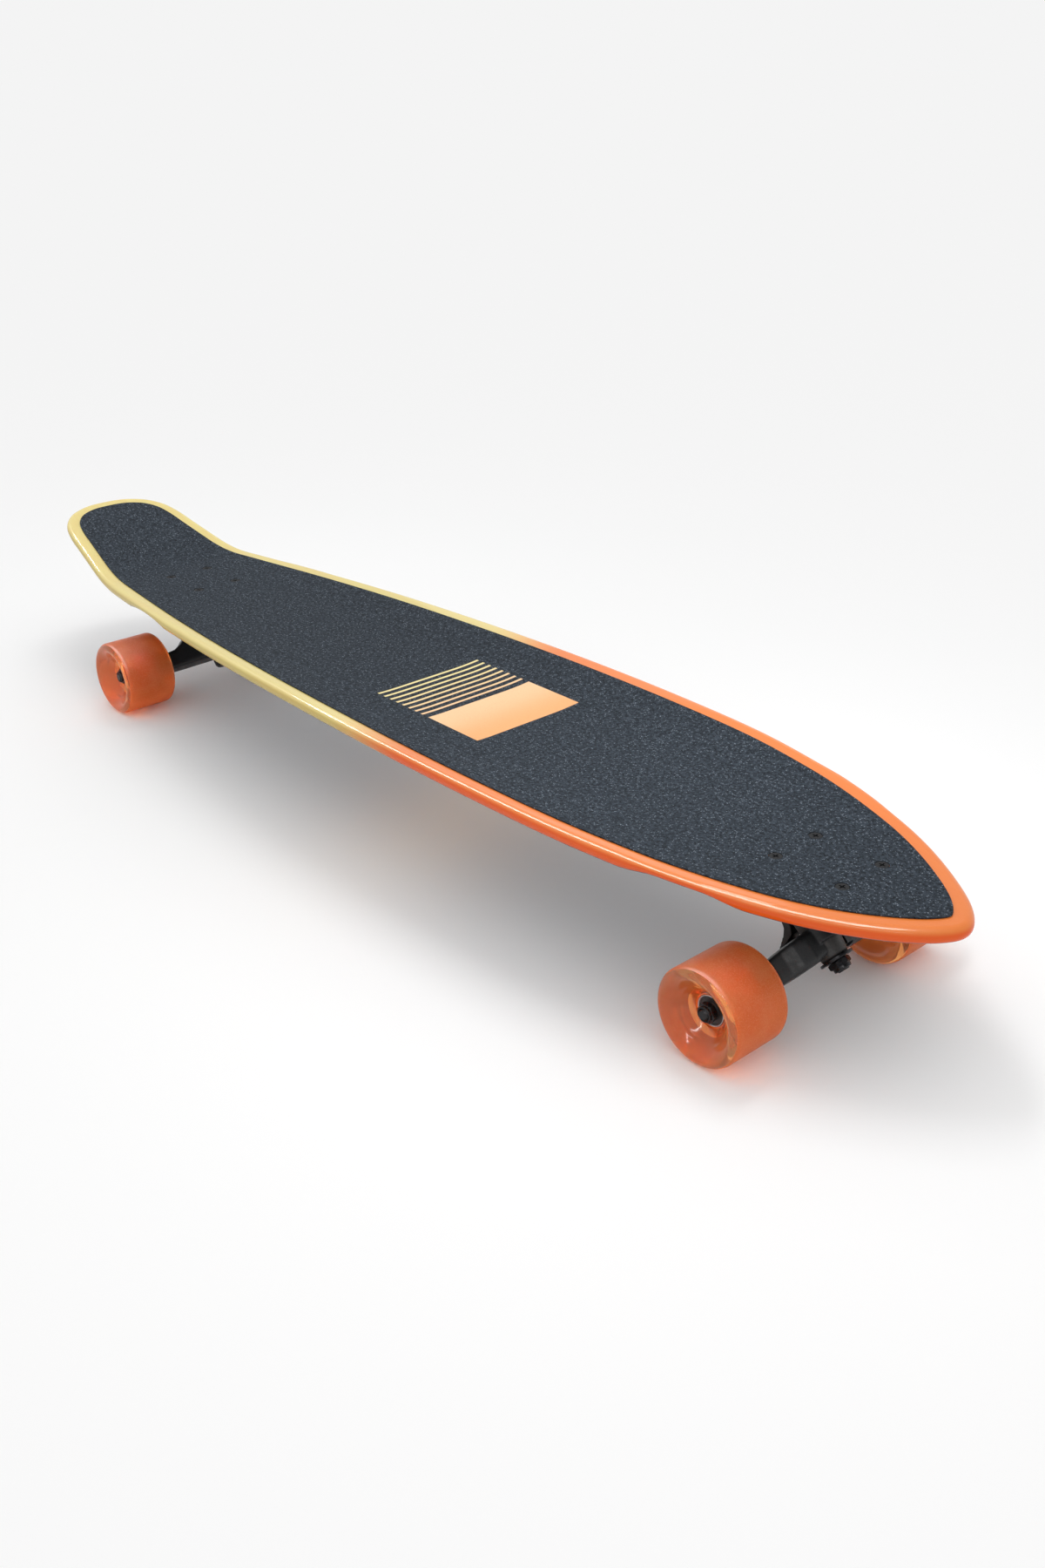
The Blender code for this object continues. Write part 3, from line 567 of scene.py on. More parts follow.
def board_slab(name, inset, top, bottom, rim):
    """A closed slab on the deck's surface, inside its outline.

    rim gives (outward distance, height share) pairs down the edge, where
    height share runs from 0 at the top to 1 at the bottom.
    """
    shape = bmesh.new()
    stations = [(point - normal * inset, normal) for point, normal in outline_points()]
    last = len(stations) - 1
    shares = [2 * step / ACROSS_STEPS - 1 for step in range(ACROSS_STEPS + 1)]

    def surface_row(point, height):
        if abs(point.y) < 0.2 * MM:
            return [shape.verts.new((point.x, 0.0, height(point.x, 0.0)))]
        return [shape.verts.new((point.x, share * point.y, height(point.x, share * point.y)))
            for share in shares]

    def rim_column(point, normal, side):
        column = []
        for outward, share in rim:
            x = point.x + normal.x * outward
            y = side * (point.y + normal.y * outward)
            low = bottom(x, y)
            column.append(shape.verts.new((x, y, low + (top(x, y) - low) * (1.0 - share))))
        return column

    top_rows = [surface_row(point, top) for point, _ in stations]
    bottom_rows = [surface_row(point, bottom) for point, _ in stations]
    rims = {side: [rim_column(point, normal, side) for point, normal in stations]
        for side in (-1, 1)}
    for end in (0, last):
        for vert in rims[-1][end]:
            shape.verts.remove(vert)
        rims[-1][end] = rims[1][end]

    def skin(first, second):
        """Faces between two rows, either of which may be a single point."""
        for k in range(max(len(first), len(second)) - 1):
            corners = [first[min(k, len(first) - 1)], first[min(k + 1, len(first) - 1)],
                second[min(k + 1, len(second) - 1)], second[min(k, len(second) - 1)]]
            shape.faces.new(list(dict.fromkeys(corners)))

    for index in range(last):
        skin(top_rows[index], top_rows[index + 1])
        skin(bottom_rows[index], bottom_rows[index + 1])
        for side in (-1, 1):
            edge = 0 if side < 0 else -1
            here = [top_rows[index][edge], *rims[side][index], bottom_rows[index][edge]]
            there = [top_rows[index + 1][edge], *rims[side][index + 1],
                bottom_rows[index + 1][edge]]
            skin(here, there)
    return to_mesh(shape, name)


BOLT_CENTRES = [centre(f"mount_bolt_{end}_{number}") for end in ENDS for number in BOLT_PLACES]


def bolt_holes(profile):
    """A turned cutter at each of the eight truck bolts."""
    return [carried(turned("hole", profile, 40), Matrix.Translation((place.x, place.y, 0.0)))
        for place in BOLT_CENTRES]


def deck_mesh():
    """The pressed deck with a round edge, wheel wells and countersunk holes."""
    def top(x, y):
        return DECK_TOP + surface_lift(x, y)

    def bottom(x, y):
        return DECK_BOTTOM + surface_lift(x, y) + well_depth(x, y)

    rim = []
    for step in range(1, RIM_STEPS):
        angle = math.pi * (0.5 - step / RIM_STEPS)
        rim.append((EDGE_RADIUS * math.cos(angle), 0.5 - 0.5 * math.sin(angle)))
    slab = board_slab("deck", EDGE_RADIUS, top, bottom, rim)
    below, above = DECK_BOTTOM - 5 * MM, DECK_TOP + 5 * MM
    hole = [(0.0, below), (BOLT_HOLE_RADIUS, below), (BOLT_HOLE_RADIUS, DECK_TOP - 2.0 * MM),
        (BOLT_HEAD_HOLE_RADIUS, DECK_TOP - 0.2 * MM), (BOLT_HEAD_HOLE_RADIUS, above),
        (0.0, above)]
    return combine("deck", slab, cut=bolt_holes(hole))


def in_bolt_hole(point):
    """Whether a point of the deck lies in a bolt's hole."""
    return min((point.xy - place.xy).length
        for place in BOLT_CENTRES) < BOLT_HEAD_HOLE_RADIUS + 0.1 * MM


def grip_mesh():
    """The grip sheet with an eased edge and a hole over each bolt."""
    def top(x, y):
        return GRIP_TOP + surface_lift(x, y)

    def bottom(x, y):
        return GRIP_TOP - GRIP_THICKNESS + surface_lift(x, y)

    ease = 0.35 * MM
    rim = [(0.6 * ease, 0.08), (ease, 0.4), (ease, 0.97)]
    slab = board_slab("grip_tape", GRIP_INSET + ease, top, bottom, rim)
    above = GRIP_TOP + 5 * MM
    hole = [(0.0, DECK_BOTTOM), (BOLT_HEAD_HOLE_RADIUS, DECK_BOTTOM),
        (BOLT_HEAD_HOLE_RADIUS, above), (0.0, above)]
    return combine("grip_tape", slab, cut=bolt_holes(hole))


# --- Nuts and bolts

def hex_body(name, across_flats, low, high):
    """A hexagon bar whose corners are chamfered at both ends."""
    corner = across_flats / 2 / math.cos(math.pi / 6)
    ease = corner - across_flats / 2 * 0.97
    slope = math.tan(math.radians(30))
    over = 0.5 * MM
    tip = corner - ease - over / slope
    shoulder = (ease + GAP) * slope
    cones = turned("cones", [(0.0, low - over), (tip, low - over), (corner + GAP, low + shoulder),
        (corner + GAP, high - shoulder), (tip, high + over),
        (0.0, high + over)], 48)
    return combine(name, bar(name, corner, low, high, 6), common=[cones])


def lock_nut(name, across_flats, bore, height, collar):
    """A hexagon nut from height 0 up, with the round collar of a lock nut; the locking ring inside it
    is not drawn.
    """
    outer = across_flats * 0.45
    crimp = 0.5 * MM
    top = turned("collar", [(0.0, 0.5 * height), (outer, 0.5 * height), (outer, height - 2 * crimp),
        *arc((outer - 2 * crimp, height - 2 * crimp), 2 * crimp, 15, 90, 5),
        (0.0, height)], 48)
    drill = turned("drill", [(0.0, -1 * MM), (bore + 1.6 * MM, -1 * MM), (bore + 0.05 * MM, 0.5 * MM),
        (bore + 0.05 * MM, height - 0.7 * MM), (bore + 0.9 * MM, height + GAP),
        (0.0, height + GAP)], 40)
    body = hex_body(name, across_flats, 0.0, height - collar)
    return combine(name, body, joined=[top], cut=[drill])


def mount_bolt_mesh():
    """A countersunk truck bolt with a cross recess and thread, hanging from its head."""
    land = 0.4 * MM
    cone = land + BOLT_HEAD_RADIUS - BOLT_RADIUS
    end = -BOLT_LENGTH
    profile = [(0.0, end), (BOLT_RADIUS - 0.7 * MM, end), (BOLT_RADIUS, end + 0.6 * MM),
        *thread(BOLT_RADIUS, 0.32 * MM, end + 0.8 * MM, -BOLT_THREAD_START, BOLT_PITCH),
        (BOLT_RADIUS, -BOLT_THREAD_START + 0.2 * MM), (BOLT_RADIUS, -cone),
        (BOLT_HEAD_RADIUS, -land), (BOLT_HEAD_RADIUS, -0.12 * MM),
        (BOLT_HEAD_RADIUS - 0.15 * MM, 0.0), (0.0, 0.0)]
    reach, half, depth = 2.5 * MM, 0.55 * MM, 1.7 * MM
    first = block("slot", (-reach, -half, -depth), (reach, half, 1 * MM))
    second = block("slot", (-half * 1.02, -reach, -depth * 1.02), (half * 1.02, reach, 1.1 * MM))
    middle = turned("middle", [(0.0, -depth - 0.4 * MM), (1.5 * MM, 0.5 * MM), (0.0, 0.5 * MM)], 24)
    return combine("mount_bolt", turned("mount_bolt", profile, 40), cut=[first, second, middle])


def kingpin_mesh():
    """The kingpin with its chamfered head at the top and thread at its end."""
    end = -(STACK_END + KINGPIN_NUT_HEIGHT + 0.8 * MM)
    threaded = -(STACK_END - 4 * MM)
    shaft = turned("shaft", [(0.0, end), (KINGPIN_RADIUS - 0.9 * MM, end),
        (KINGPIN_RADIUS - 0.1 * MM, end + 0.8 * MM),
        *thread(KINGPIN_RADIUS, 0.4 * MM, end + 1.0 * MM, threaded, AXLE_PITCH),
        (KINGPIN_RADIUS, threaded + 0.3 * MM),
        (KINGPIN_RADIUS, HEAD_START + 1 * MM), (0.0, HEAD_START + 1 * MM)], 40)
    head = hex_body("head", KINGPIN_HEAD_FLATS, HEAD_START, HEAD_START + HEAD_HEIGHT)
    return combine("kingpin", shaft, joined=[head])


def axle_mesh():
    """The axle rod, with a thread at both ends, along Z."""
    end = AXLE_HALF_LENGTH
    half = [(0.0, end), (AXLE_RADIUS - 0.9 * MM, end), (AXLE_RADIUS - 0.1 * MM, end - 0.8 * MM),
        *thread(AXLE_RADIUS, 0.4 * MM, end - 1.0 * MM, AXLE_THREAD_START, AXLE_PITCH),
        (AXLE_RADIUS, AXLE_THREAD_START - 0.4 * MM)]
    mirrored = [(radius, -height) for radius, height in reversed(half)]
    return turned("axle", half + mirrored, 40)


# --- Truck castings and the kingpin stack

def steer_point(x, z):
    """A point of the steering frame as (x, z) in the truck's frame."""
    point = STEER_IN_TRUCK @ Vector((x, 0.0, z))
    return (point.x, point.z)


def bolt_drills(low, high):
    """Four drills for the truck bolts."""
    return [carried(bar("drill", BOLT_HOLE_RADIUS, low, high, 32), Matrix.Translation((x, y, 0.0)))
        for x, y in BOLT_PLACES.values()]


def baseplate_mesh():
    """A flat plate with a wedge for the kingpin and a leg down to the pivot cup."""
    plate = rounded_plate("plate", (PLATE_BACK, -PLATE_HALF_WIDTH, PLATE_BOTTOM),
        (PLATE_FRONT, PLATE_HALF_WIDTH, PLATE_TOP), PLATE_CORNER, 0.0)
    inside_plate = PLATE_BOTTOM + 2 * MM
    wedge = prism("wedge", [
        (12 * MM, inside_plate),
        (12 * MM, PLATE_BOTTOM - 1 * MM),
        steer_point(15 * MM, STACK_END),
        steer_point(-13.5 * MM, STACK_END),
        steer_point(-17 * MM, STACK_END + 7 * MM),
        (-38 * MM, inside_plate),], WEDGE_HALF_WIDTH)
    leg = prism("leg", [
        steer_point(-8 * MM, STACK_END + 4 * MM),
        steer_point(-13.4 * MM, STACK_END + 1 * MM),
        steer_point(-13.8 * MM, 14 * MM),
        steer_point(-17 * MM, 9.6 * MM),
        steer_point(-BOSS_START, 6.5 * MM),
        steer_point(-BOSS_START - 1 * MM, -3 * MM),
        steer_point(-BOSS_END + 1 * MM, -2 * MM),
        steer_point(-BOSS_END + 1 * MM, 6 * MM),
        steer_point(-24 * MM, 13 * MM),
        steer_point(-20 * MM, 17 * MM),
        steer_point(-16.5 * MM, STACK_END + 7 * MM),], LEG_HALF_WIDTH)
    boss = carried(turned("boss", [(0.0, -BOSS_END), (BOSS_RADIUS - 2 * MM, -BOSS_END),
        (BOSS_RADIUS, -BOSS_END + 2.5 * MM), (BOSS_RADIUS, -BOSS_START),
        (0.0, -BOSS_START)], 48), STEER_IN_TRUCK @ ALONG_X)
    seat = carried(bar("seat", 13.2 * MM, STACK_END, STACK_END + 6 * MM, 64), STEER_IN_TRUCK)
    body = cast("baseplate", [plate, wedge, leg, boss, seat])
    pocket = bar("pocket", HEAD_POCKET_RADIUS, HEAD_START - GAP, HEAD_START + 12 * MM, 48)
    access = block("access", (-41 * MM, -HEAD_POCKET_RADIUS, 80 * MM),
        (-22 * MM, HEAD_POCKET_RADIUS, PLATE_TOP + 5 * MM))
    kingpin_drill = bar("drill", KINGPIN_BORE, STACK_END - 5 * MM, HEAD_START + 5 * MM, 40)
    cup_drill = bar("drill", CUP_RADIUS + GAP, -CUP_END - GAP, -BOSS_START + 5 * MM, 40)
    return combine("baseplate", body, cut=[
        carried(kingpin_drill, STEER_IN_TRUCK), carried(pocket, STEER_IN_TRUCK), access,
        carried(cup_drill, STEER_IN_TRUCK @ ALONG_X),
        *bolt_drills(PLATE_BOTTOM - 5 * MM, PLATE_TOP + 5 * MM)])


def riser_mesh():
    """The flat pad between baseplate and deck."""
    low = PLATE_TOP + GAP
    pad = rounded_plate("riser_pad", (PLATE_BACK, -PLATE_HALF_WIDTH, low),
        (PLATE_FRONT, PLATE_HALF_WIDTH, low + RISER_THICKNESS), PLATE_CORNER, 0.5 * MM)
    return combine("riser_pad", pad, cut=bolt_drills(PLATE_TOP - 5 * MM, DECK_BOTTOM + 5 * MM))


def power(value, exponent):
    """A power that keeps the sign."""
    return math.copysign(abs(value) ** exponent, value)


def wing_mesh():
    """The hanger's body from end to end, in the steering frame."""
    shape = bmesh.new()
    sections = [(-section[0], *section[1:]) for section in HANGER_SECTIONS]
    sections += HANGER_SECTIONS[-2::-1]
    rings = []
    for y, x_low, x_high, z_low, z_high in sections:
        verts = []
        for side in range(SECTION_SIDES):
            angle = 2 * math.pi * (side + 0.5) / SECTION_SIDES
            x = (x_low + x_high + (x_high - x_low) * power(math.cos(angle), SECTION_SQUARENESS)) / 2
            z = (z_low + z_high + (z_high - z_low) * power(math.sin(angle), SECTION_SQUARENESS)) / 2
            verts.append(shape.verts.new((x * MM, y * MM, z * MM)))
        rings.append(verts)
    loft(shape, rings)
    return to_mesh(shape, "wings")


def hanger_mesh():
    """Wings, ring and pivot pin in one casting, drilled for axle and kingpin."""
    axle = steer_frame("front").inverted() @ centre("axle_front")
    half = RING_HALF_THICKNESS
    collar = bar("ring", RING_RADIUS, -half - RING_RIM, half + RING_RIM, 64)
    pin = carried(turned("pin", [(0.0, -PIN_END), (3.0 * MM, -PIN_END), (4.6 * MM, -PIN_END + 2 * MM),
        (5.0 * MM, -BOSS_START), (6.6 * MM, -26 * MM),
        (6.6 * MM, -16 * MM), (0.0, -16 * MM)], 48), ALONG_X)
    body = cast("hanger", [wing_mesh(), collar])
    room = BUSHING_RADIUS + 0.9 * MM
    return combine("hanger", body, joined=[pin], cut=[bar("upper_room", room, half, 40 * MM, 64),
        bar("lower_room", room, -40 * MM, -half, 64),
        bar("washer_relief", RELIEF_RADIUS, -40 * MM, -RELIEF_START, 64),
        bar("ring_bore", RING_BORE, -10 * MM, 10 * MM, 48),
        carried(bar("axle_bore", AXLE_RADIUS + GAP, -90 * MM, 90 * MM, 40),
        Matrix.Translation((axle.x, 0.0, axle.z)) @ ALONG_Y)])


def bushing_mesh(name, waist):
    """A urethane bushing from height 0 up, a little swollen by its load."""
    steps = 14
    wall = []
    for step in range(steps + 1):
        share = step / steps
        narrowing = 1.0 - (1.0 - waist) * share
        swell = 0.25 * MM * math.sin(math.pi * share)
        ease = 0.7 * MM * max(0.0, 1.0 - 7 * min(share, 1.0 - share)) ** 2
        wall.append((BUSHING_RADIUS * narrowing + swell - ease, BUSHING_HEIGHT * share))
    return turned(name, [(KINGPIN_BORE, 0.0), *wall, (KINGPIN_BORE, BUSHING_HEIGHT)], 64)


def cup_washer_mesh():
    """A cup washer whose lip reaches down around the bushing."""
    lip = 0.5 * MM
    inner, outer = BUSHING_RADIUS + 0.2 * MM, BUSHING_RADIUS + 0.8 * MM
    return turned("cup_washer", [
        (KINGPIN_BORE, 0.0), (inner, 0.0), (inner, -lip), (outer - 0.1 * MM, -lip),
        (outer, -lip + 0.1 * MM), (outer, WASHER_THICKNESS - 0.7 * MM),
        *arc((outer - 0.7 * MM, WASHER_THICKNESS - 0.7 * MM), 0.7 * MM, 20, 90, 4),
        (KINGPIN_BORE + 0.2 * MM, WASHER_THICKNESS), (KINGPIN_BORE, WASHER_THICKNESS - 0.2 * MM)], 64)


def cup_mesh():
    """The pivot cup, turned about the steering axis."""
    floor = -CUP_END + 0.8 * MM
    return turned("pivot_cup", [
        (0.0, -CUP_END), (CUP_RADIUS - 0.6 * MM, -CUP_END), (CUP_RADIUS, -CUP_END + 1 * MM),
        (CUP_RADIUS, -CUP_START - 0.2 * MM), (CUP_RADIUS - 0.2 * MM, -CUP_START),
        (5.6 * MM, -CUP_START), (5.4 * MM, -CUP_START - 0.3 * MM),
        (5.1 * MM, -PIN_END + 2 * MM), (3.6 * MM, floor), (0.0, floor)], 48)


# --- Wheels: Z runs along the axle, away from the hanger

def tyre_mesh():
    """The urethane tyre, cast around the core, with a dish in both faces."""
    lip = WHEEL_LIP
    low, high = WHEEL_INNER_FACE, WHEEL_OUTER_FACE
    core_low = INNER_BEARING_Y + 0.2 * MM
    core_high = OUTER_BEARING_Y + BEARING_WIDTH - 0.2 * MM
    rim = WHEEL_RADIUS - lip
    outer_dish = [(rim - out * MM, high - deep * MM) for out, deep in (
        (1.6, 0.5), (3.6, 1.6), (5.8, 3.4), (8.0, 5.6))]
    outer_dish += [(radius * MM, high - deep * MM) for radius, deep in (
        (20.2, 7.1), (19.6, 7.3), (18.9, 8.2), (17.5, 9.6), (14.2, 12.6), (12.9, 13.8))]
    inner_dish = [(rim - out * MM, low + deep * MM) for out, deep in (
        (1.6, 0.5), (3.6, 1.6), (6.4, 4.2))]
    inner_dish += [(radius * MM, low + deep * MM) for radius, deep in (
        (20.2, 7.3), (18.9, 8.3), (14.6, 11.0), (12.9, 11.9))]
    tread = [(WHEEL_RADIUS, low + lip + (high - low - 2 * lip) * step / 8) for step in range(1, 8)]
    profile = [(CORE_RADIUS + GAP, core_low), (WHEEL_THROAT, core_low),
        (WHEEL_THROAT, core_low - 0.8 * MM), *reversed(inner_dish),
        *arc((rim, low + lip), lip, -90, 0, 12), *tread,
        *arc((rim, high - lip), lip, 0, 90, 12), *outer_dish,
        (WHEEL_THROAT, core_high + 0.8 * MM), (WHEEL_THROAT, core_high),
        (CORE_RADIUS + GAP, core_high)]
    return turned("tyre", profile, 128)


def in_dish(point):
    """Whether a point of the tyre lies inside its tread."""
    return math.hypot(point.x, point.y) <= WHEEL_RADIUS - TREAD_DEPTH


def core_mesh():
    """The hard hub that carries both bearings, with a ring of windows in each face."""
    low = INNER_BEARING_Y + 0.5 * MM
    high = OUTER_BEARING_Y + BEARING_WIDTH - 0.5 * MM
    seat = BEARING_RADIUS + GAP
    shoulder = 9.6 * MM
    inner_step = INNER_BEARING_Y + BEARING_WIDTH + GAP
    outer_step = OUTER_BEARING_Y - GAP
    hub = turned("core", [
        (seat, low), (CORE_RADIUS - 0.3 * MM, low), (CORE_RADIUS, low + 0.3 * MM),
        (CORE_RADIUS, high - 0.3 * MM), (CORE_RADIUS - 0.3 * MM, high), (seat, high),
        (seat, outer_step), (shoulder, outer_step), (shoulder, inner_step), (seat, inner_step)], 84)
    shape = bmesh.new()
    corners = ((WINDOW_INNER, -1), (WINDOW_OUTER, -1), (WINDOW_OUTER, 1), (WINDOW_INNER, 1))
    for window in range(CORE_WINDOWS):
        for heights in ((low - 1 * MM, low + WINDOW_DEPTH), (high - WINDOW_DEPTH, high + 1 * MM)):
            layers = []
            for height in heights:
                angles = [2 * math.pi / CORE_WINDOWS * (window + edge * WINDOW_SHARE / 2)
                    for _, edge in corners]
                layers.append([shape.verts.new(polar(radius, angle, height))
                    for (radius, _), angle in zip(corners, angles)])
            loft(shape, layers)
    return combine("core", hub, cut=[to_mesh(shape, "windows")])


def races_mesh():
    """The outer and inner race of one ball bearing, from its inner side outwards."""
    shape = bmesh.new()
    shape.from_mesh(ring("outer", 10.1 * MM, BEARING_RADIUS, 0.0, BEARING_WIDTH, 64, 0.3 * MM))
    shape.from_mesh(ring("inner", AXLE_RADIUS + 0.1 * MM, 5.2 * MM, 0.0, BEARING_WIDTH, 64, 0.3 * MM))
    return to_mesh(shape, "races")


def shield_mesh():
    """The ring between the races, with a pressed groove in both sides."""
    low, high = 0.45 * MM, BEARING_WIDTH - 0.45 * MM
    inner, outer = 5.3 * MM, 10.0 * MM
    return turned("shield", [
        (inner, low), (inner + 0.7 * MM, low), (inner + 1.0 * MM, low + GAP),
        (outer - 0.9 * MM, low + GAP), (outer - 0.6 * MM, low), (outer, low),
        (outer, high), (outer - 0.6 * MM, high), (outer - 0.9 * MM, high - GAP),
        (inner + 1.0 * MM, high - GAP), (inner + 0.7 * MM, high), (inner, high)], 64)


# --- Materials

# Paint colours. The darker yellow is painted shade for the edges; the deep orange is painted shade
# for the edges and also the grain's tone and the underside stripe.
YELLOW = (0.73, 0.62, 0.23)
YELLOW_PAINTED_SHADE = (0.52, 0.42, 0.12)
ORANGE = (0.75, 0.198, 0.035)
DEEP_ORANGE_SHADE_AND_PRINT = (0.70, 0.090, 0.005)
NAVY = (0.010, 0.016, 0.040)
PEACH = (0.86, 0.42, 0.19)
PEACH_LIGHT = (0.90, 0.58, 0.34)
STRIPE_YELLOW = (0.86, 0.72, 0.36)


MOTIF_LOW_Y = -49.0 * MM
MOTIF_HIGH_Y = 57.5 * MM
STRIPES_START = 12.5 * MM
STRIPES_END = 77.5 * MM
STRIPE_PHASE = 12.0 * MM
STRIPE_PITCH = 8.2 * MM
BLOCK_START = 82.0 * MM
BLOCK_END = 142.5 * MM


def paint_material():
    """Gloss paint that fades from yellow at the tail to orange at the nose, with painted shade down
    its edges.
    """
    made = Surface("deck_paint", 0.42, Coat_Weight=0.38, Coat_Roughness=0.035,
        Specular_IOR_Level=0.12)
    where = made.parts(made.place())
    slanted = made.calc("MULTIPLY_ADD", where["Y"], 0.31, where["X"])
    wobble = made.calc("MULTIPLY_ADD", made.noise(9.0), 0.02, slanted)
    fade = made.fit(wobble, 0.012, 0.115)
    upward = made.parts(made.place("Normal"))["Z"]
    # Painted shade: as the surface turns from the top down the edge, the colour goes to its darker
    # copy.
    side = made.fit(upward, 0.75, 0.15)
    grain = made.stretched(6.0, 4.0, (1.0, 30.0, 30.0))
    yellow = made.mix(side, YELLOW, YELLOW_PAINTED_SHADE)
    orange = made.mix(side, ORANGE, DEEP_ORANGE_SHADE_AND_PRINT)
    upper = made.mix(fade, yellow, orange)
    toned = made.mix(made.fit(grain, 0.2, 0.8, 0.0, 0.10), upper, DEEP_ORANGE_SHADE_AND_PRINT)
    under = made.fit(upward, -0.62, -0.74)
    band = made.calc("ABSOLUTE", made.calc("SUBTRACT", slanted, 0.06))
    striped = made.mix(made.fit(band, 0.041, 0.040), NAVY, DEEP_ORANGE_SHADE_AND_PRINT)
    striped = made.mix(made.fit(band, 0.0205, 0.0195), striped, YELLOW)
    made.paint(made.mix(under, toned, striped))
    made.rough(made.fit(made.noise(220.0, 3.0), 0.3, 0.7, 0.38, 0.48))
    made.bump(made.noise(900.0, 2.0), 0.03 * MM, 0.35)
    return made.material


def grip_material():
    """Abrasive sheet: dark sand with painted glints on its grains, and a plain printed block and
    stripes.
    """
    made = Surface("grip_tape", 0.74, Specular_IOR_Level=0.04)
    where = made.parts(made.place())
    coarse = made.noise(400.0, 2.0, 0.7)
    fine = made.noise(900.0, 3.0, 0.8)
    dark = made.mix(made.fit(fine, 0.34, 0.68), (0.001, 0.002, 0.003), (0.034, 0.043, 0.056))
    mottled = made.mix(made.fit(coarse, 0.36, 0.7), dark, (0.043, 0.055, 0.071))
    # Painted glints: small near white points in the colour stand for light caught by the grit.
    glint_cells = made.node("ShaderNodeTexVoronoi", {"Vector": made.place(), "Scale": 640.0})
    painted_glint = made.fit(glint_cells.outputs["Distance"], 0.34, 0.12)
    sand = made.mix(made.calc("MULTIPLY", painted_glint, made.fit(coarse, 0.45, 0.6)),
        mottled, (0.25, 0.29, 0.34))

    def within(value, low, high, soft=0.3 * MM):
        """1 between two values, with soft ends."""
        return made.calc("MULTIPLY", made.fit(value, low - soft, low + soft),
            made.fit(value, high + soft, high - soft))

    x, y = where["X"], where["Y"]
    across = within(y, MOTIF_LOW_Y, MOTIF_HIGH_Y)
    block_mask = made.calc("MULTIPLY", across, within(x, BLOCK_START, BLOCK_END))
    phase = made.calc("FRACT", made.calc("DIVIDE", made.calc("SUBTRACT", x, STRIPE_PHASE),
        STRIPE_PITCH))
    line = made.calc("MULTIPLY", made.fit(phase, 0.30, 0.36), made.fit(phase, 0.70, 0.64))
    stripe_mask = made.calc("MULTIPLY", line,
        made.calc("MULTIPLY", across, within(x, STRIPES_START, STRIPES_END)))
    stripe_colour = made.mix(made.fit(x, 20.0 * MM, 78.0 * MM), STRIPE_YELLOW, PEACH_LIGHT)
    block_colour = made.mix(made.fit(x, 84.0 * MM, 140.0 * MM), PEACH_LIGHT, PEACH)
    printed = made.mix(stripe_mask, sand, stripe_colour)
    printed = made.mix(block_mask, printed, block_colour)
    made.paint(made.mix(made.fit(fine, 0.5, 0.75, 0.0, 0.16), printed, sand))
    made.rough(made.fit(fine, 0.3, 0.7, 0.62, 0.88))
    made.bump(made.calc("ADD", fine, made.calc("MULTIPLY", coarse, 0.5)), 0.35 * MM, 0.8)
    return made.material


def metal_material(name, light, dark, roughness, grain, depth, metallic=0.0, **sockets):
    """Coated metal with a fine grain in colour, gloss and relief."""
    made = Surface(name, roughness, Metallic=metallic, **sockets)
    texture = made.noise(grain, 4.0, 0.6)
    made.paint(made.mix(made.fit(texture, 0.3, 0.7), dark, light))
    made.rough(made.fit(made.noise(grain / 5, 3.0), 0.3, 0.7, roughness - 0.06, roughness + 0.08))
    made.bump(texture, depth, 0.5)
    return made.material


def urethane_material(name, roughness, transmission, frost, deep, pale, speckle, gloss):
    """Tinted, half clear urethane, painted darker towards the hub and lighter at the lip as shade and
    light fall on the dish.
    """
    made = Surface(name, roughness, IOR=1.48, Transmission_Weight=transmission,
        Subsurface_Weight=0.25, Subsurface_Scale=0.01, Specular_IOR_Level=gloss)
    where = made.parts(made.place())
    out = made.calc("SQRT", made.calc("ADD", made.calc("MULTIPLY", where["X"], where["X"]),
        made.calc("MULTIPLY", where["Y"], where["Y"])))
    # Painted light and shade: the colour runs from darker near the hub to lighter at the lip.
    painted_dish_shade = made.mix(made.fit(out, 12.0 * MM, 33.0 * MM), deep, pale)
    cloud = made.noise(60.0, 3.0)
    clouded = made.mix(made.fit(cloud, 0.35, 0.7, 0.0, 0.22), painted_dish_shade, (0.90, 0.32, 0.13))
    specks = made.fit(made.noise(1100.0, 3.0, 0.7), 0.45, 0.66, 0.0, speckle)
    made.paint(made.mix(specks, clouded, (0.90, 0.36, 0.11)))
    grind = made.stretched(40.0, 3.0, (25.0, 25.0, 25.0))
    made.rough(made.fit(grind, 0.3, 0.7, roughness - 0.04, roughness + 0.05))
    made.bump(grind, frost, 0.4)
    return made.material


paint = paint_material()
grip = grip_material()
truck_black = metal_material("truck_black", (0.020, 0.020, 0.021), (0.009, 0.009, 0.010),
    0.46, 1600.0, 0.06 * MM, 0.2)
black_steel = metal_material("black_steel", (0.034, 0.034, 0.036), (0.012, 0.012, 0.013),
    0.30, 2400.0, 0.02 * MM, 0.8)
race_steel = metal_material("race_steel", (0.62, 0.62, 0.63), (0.42, 0.42, 0.44),
    0.20, 2600.0, 0.01 * MM, 1.0)
shield_black = metal_material("shield_black", (0.016, 0.015, 0.015), (0.006, 0.006, 0.006),
    0.42, 1800.0, 0.03 * MM)
screw_black = metal_material("screw_black", (0.024, 0.025, 0.027), (0.010, 0.010, 0.011),
    0.70, 2400.0, 0.02 * MM, Specular_IOR_Level=0.08)
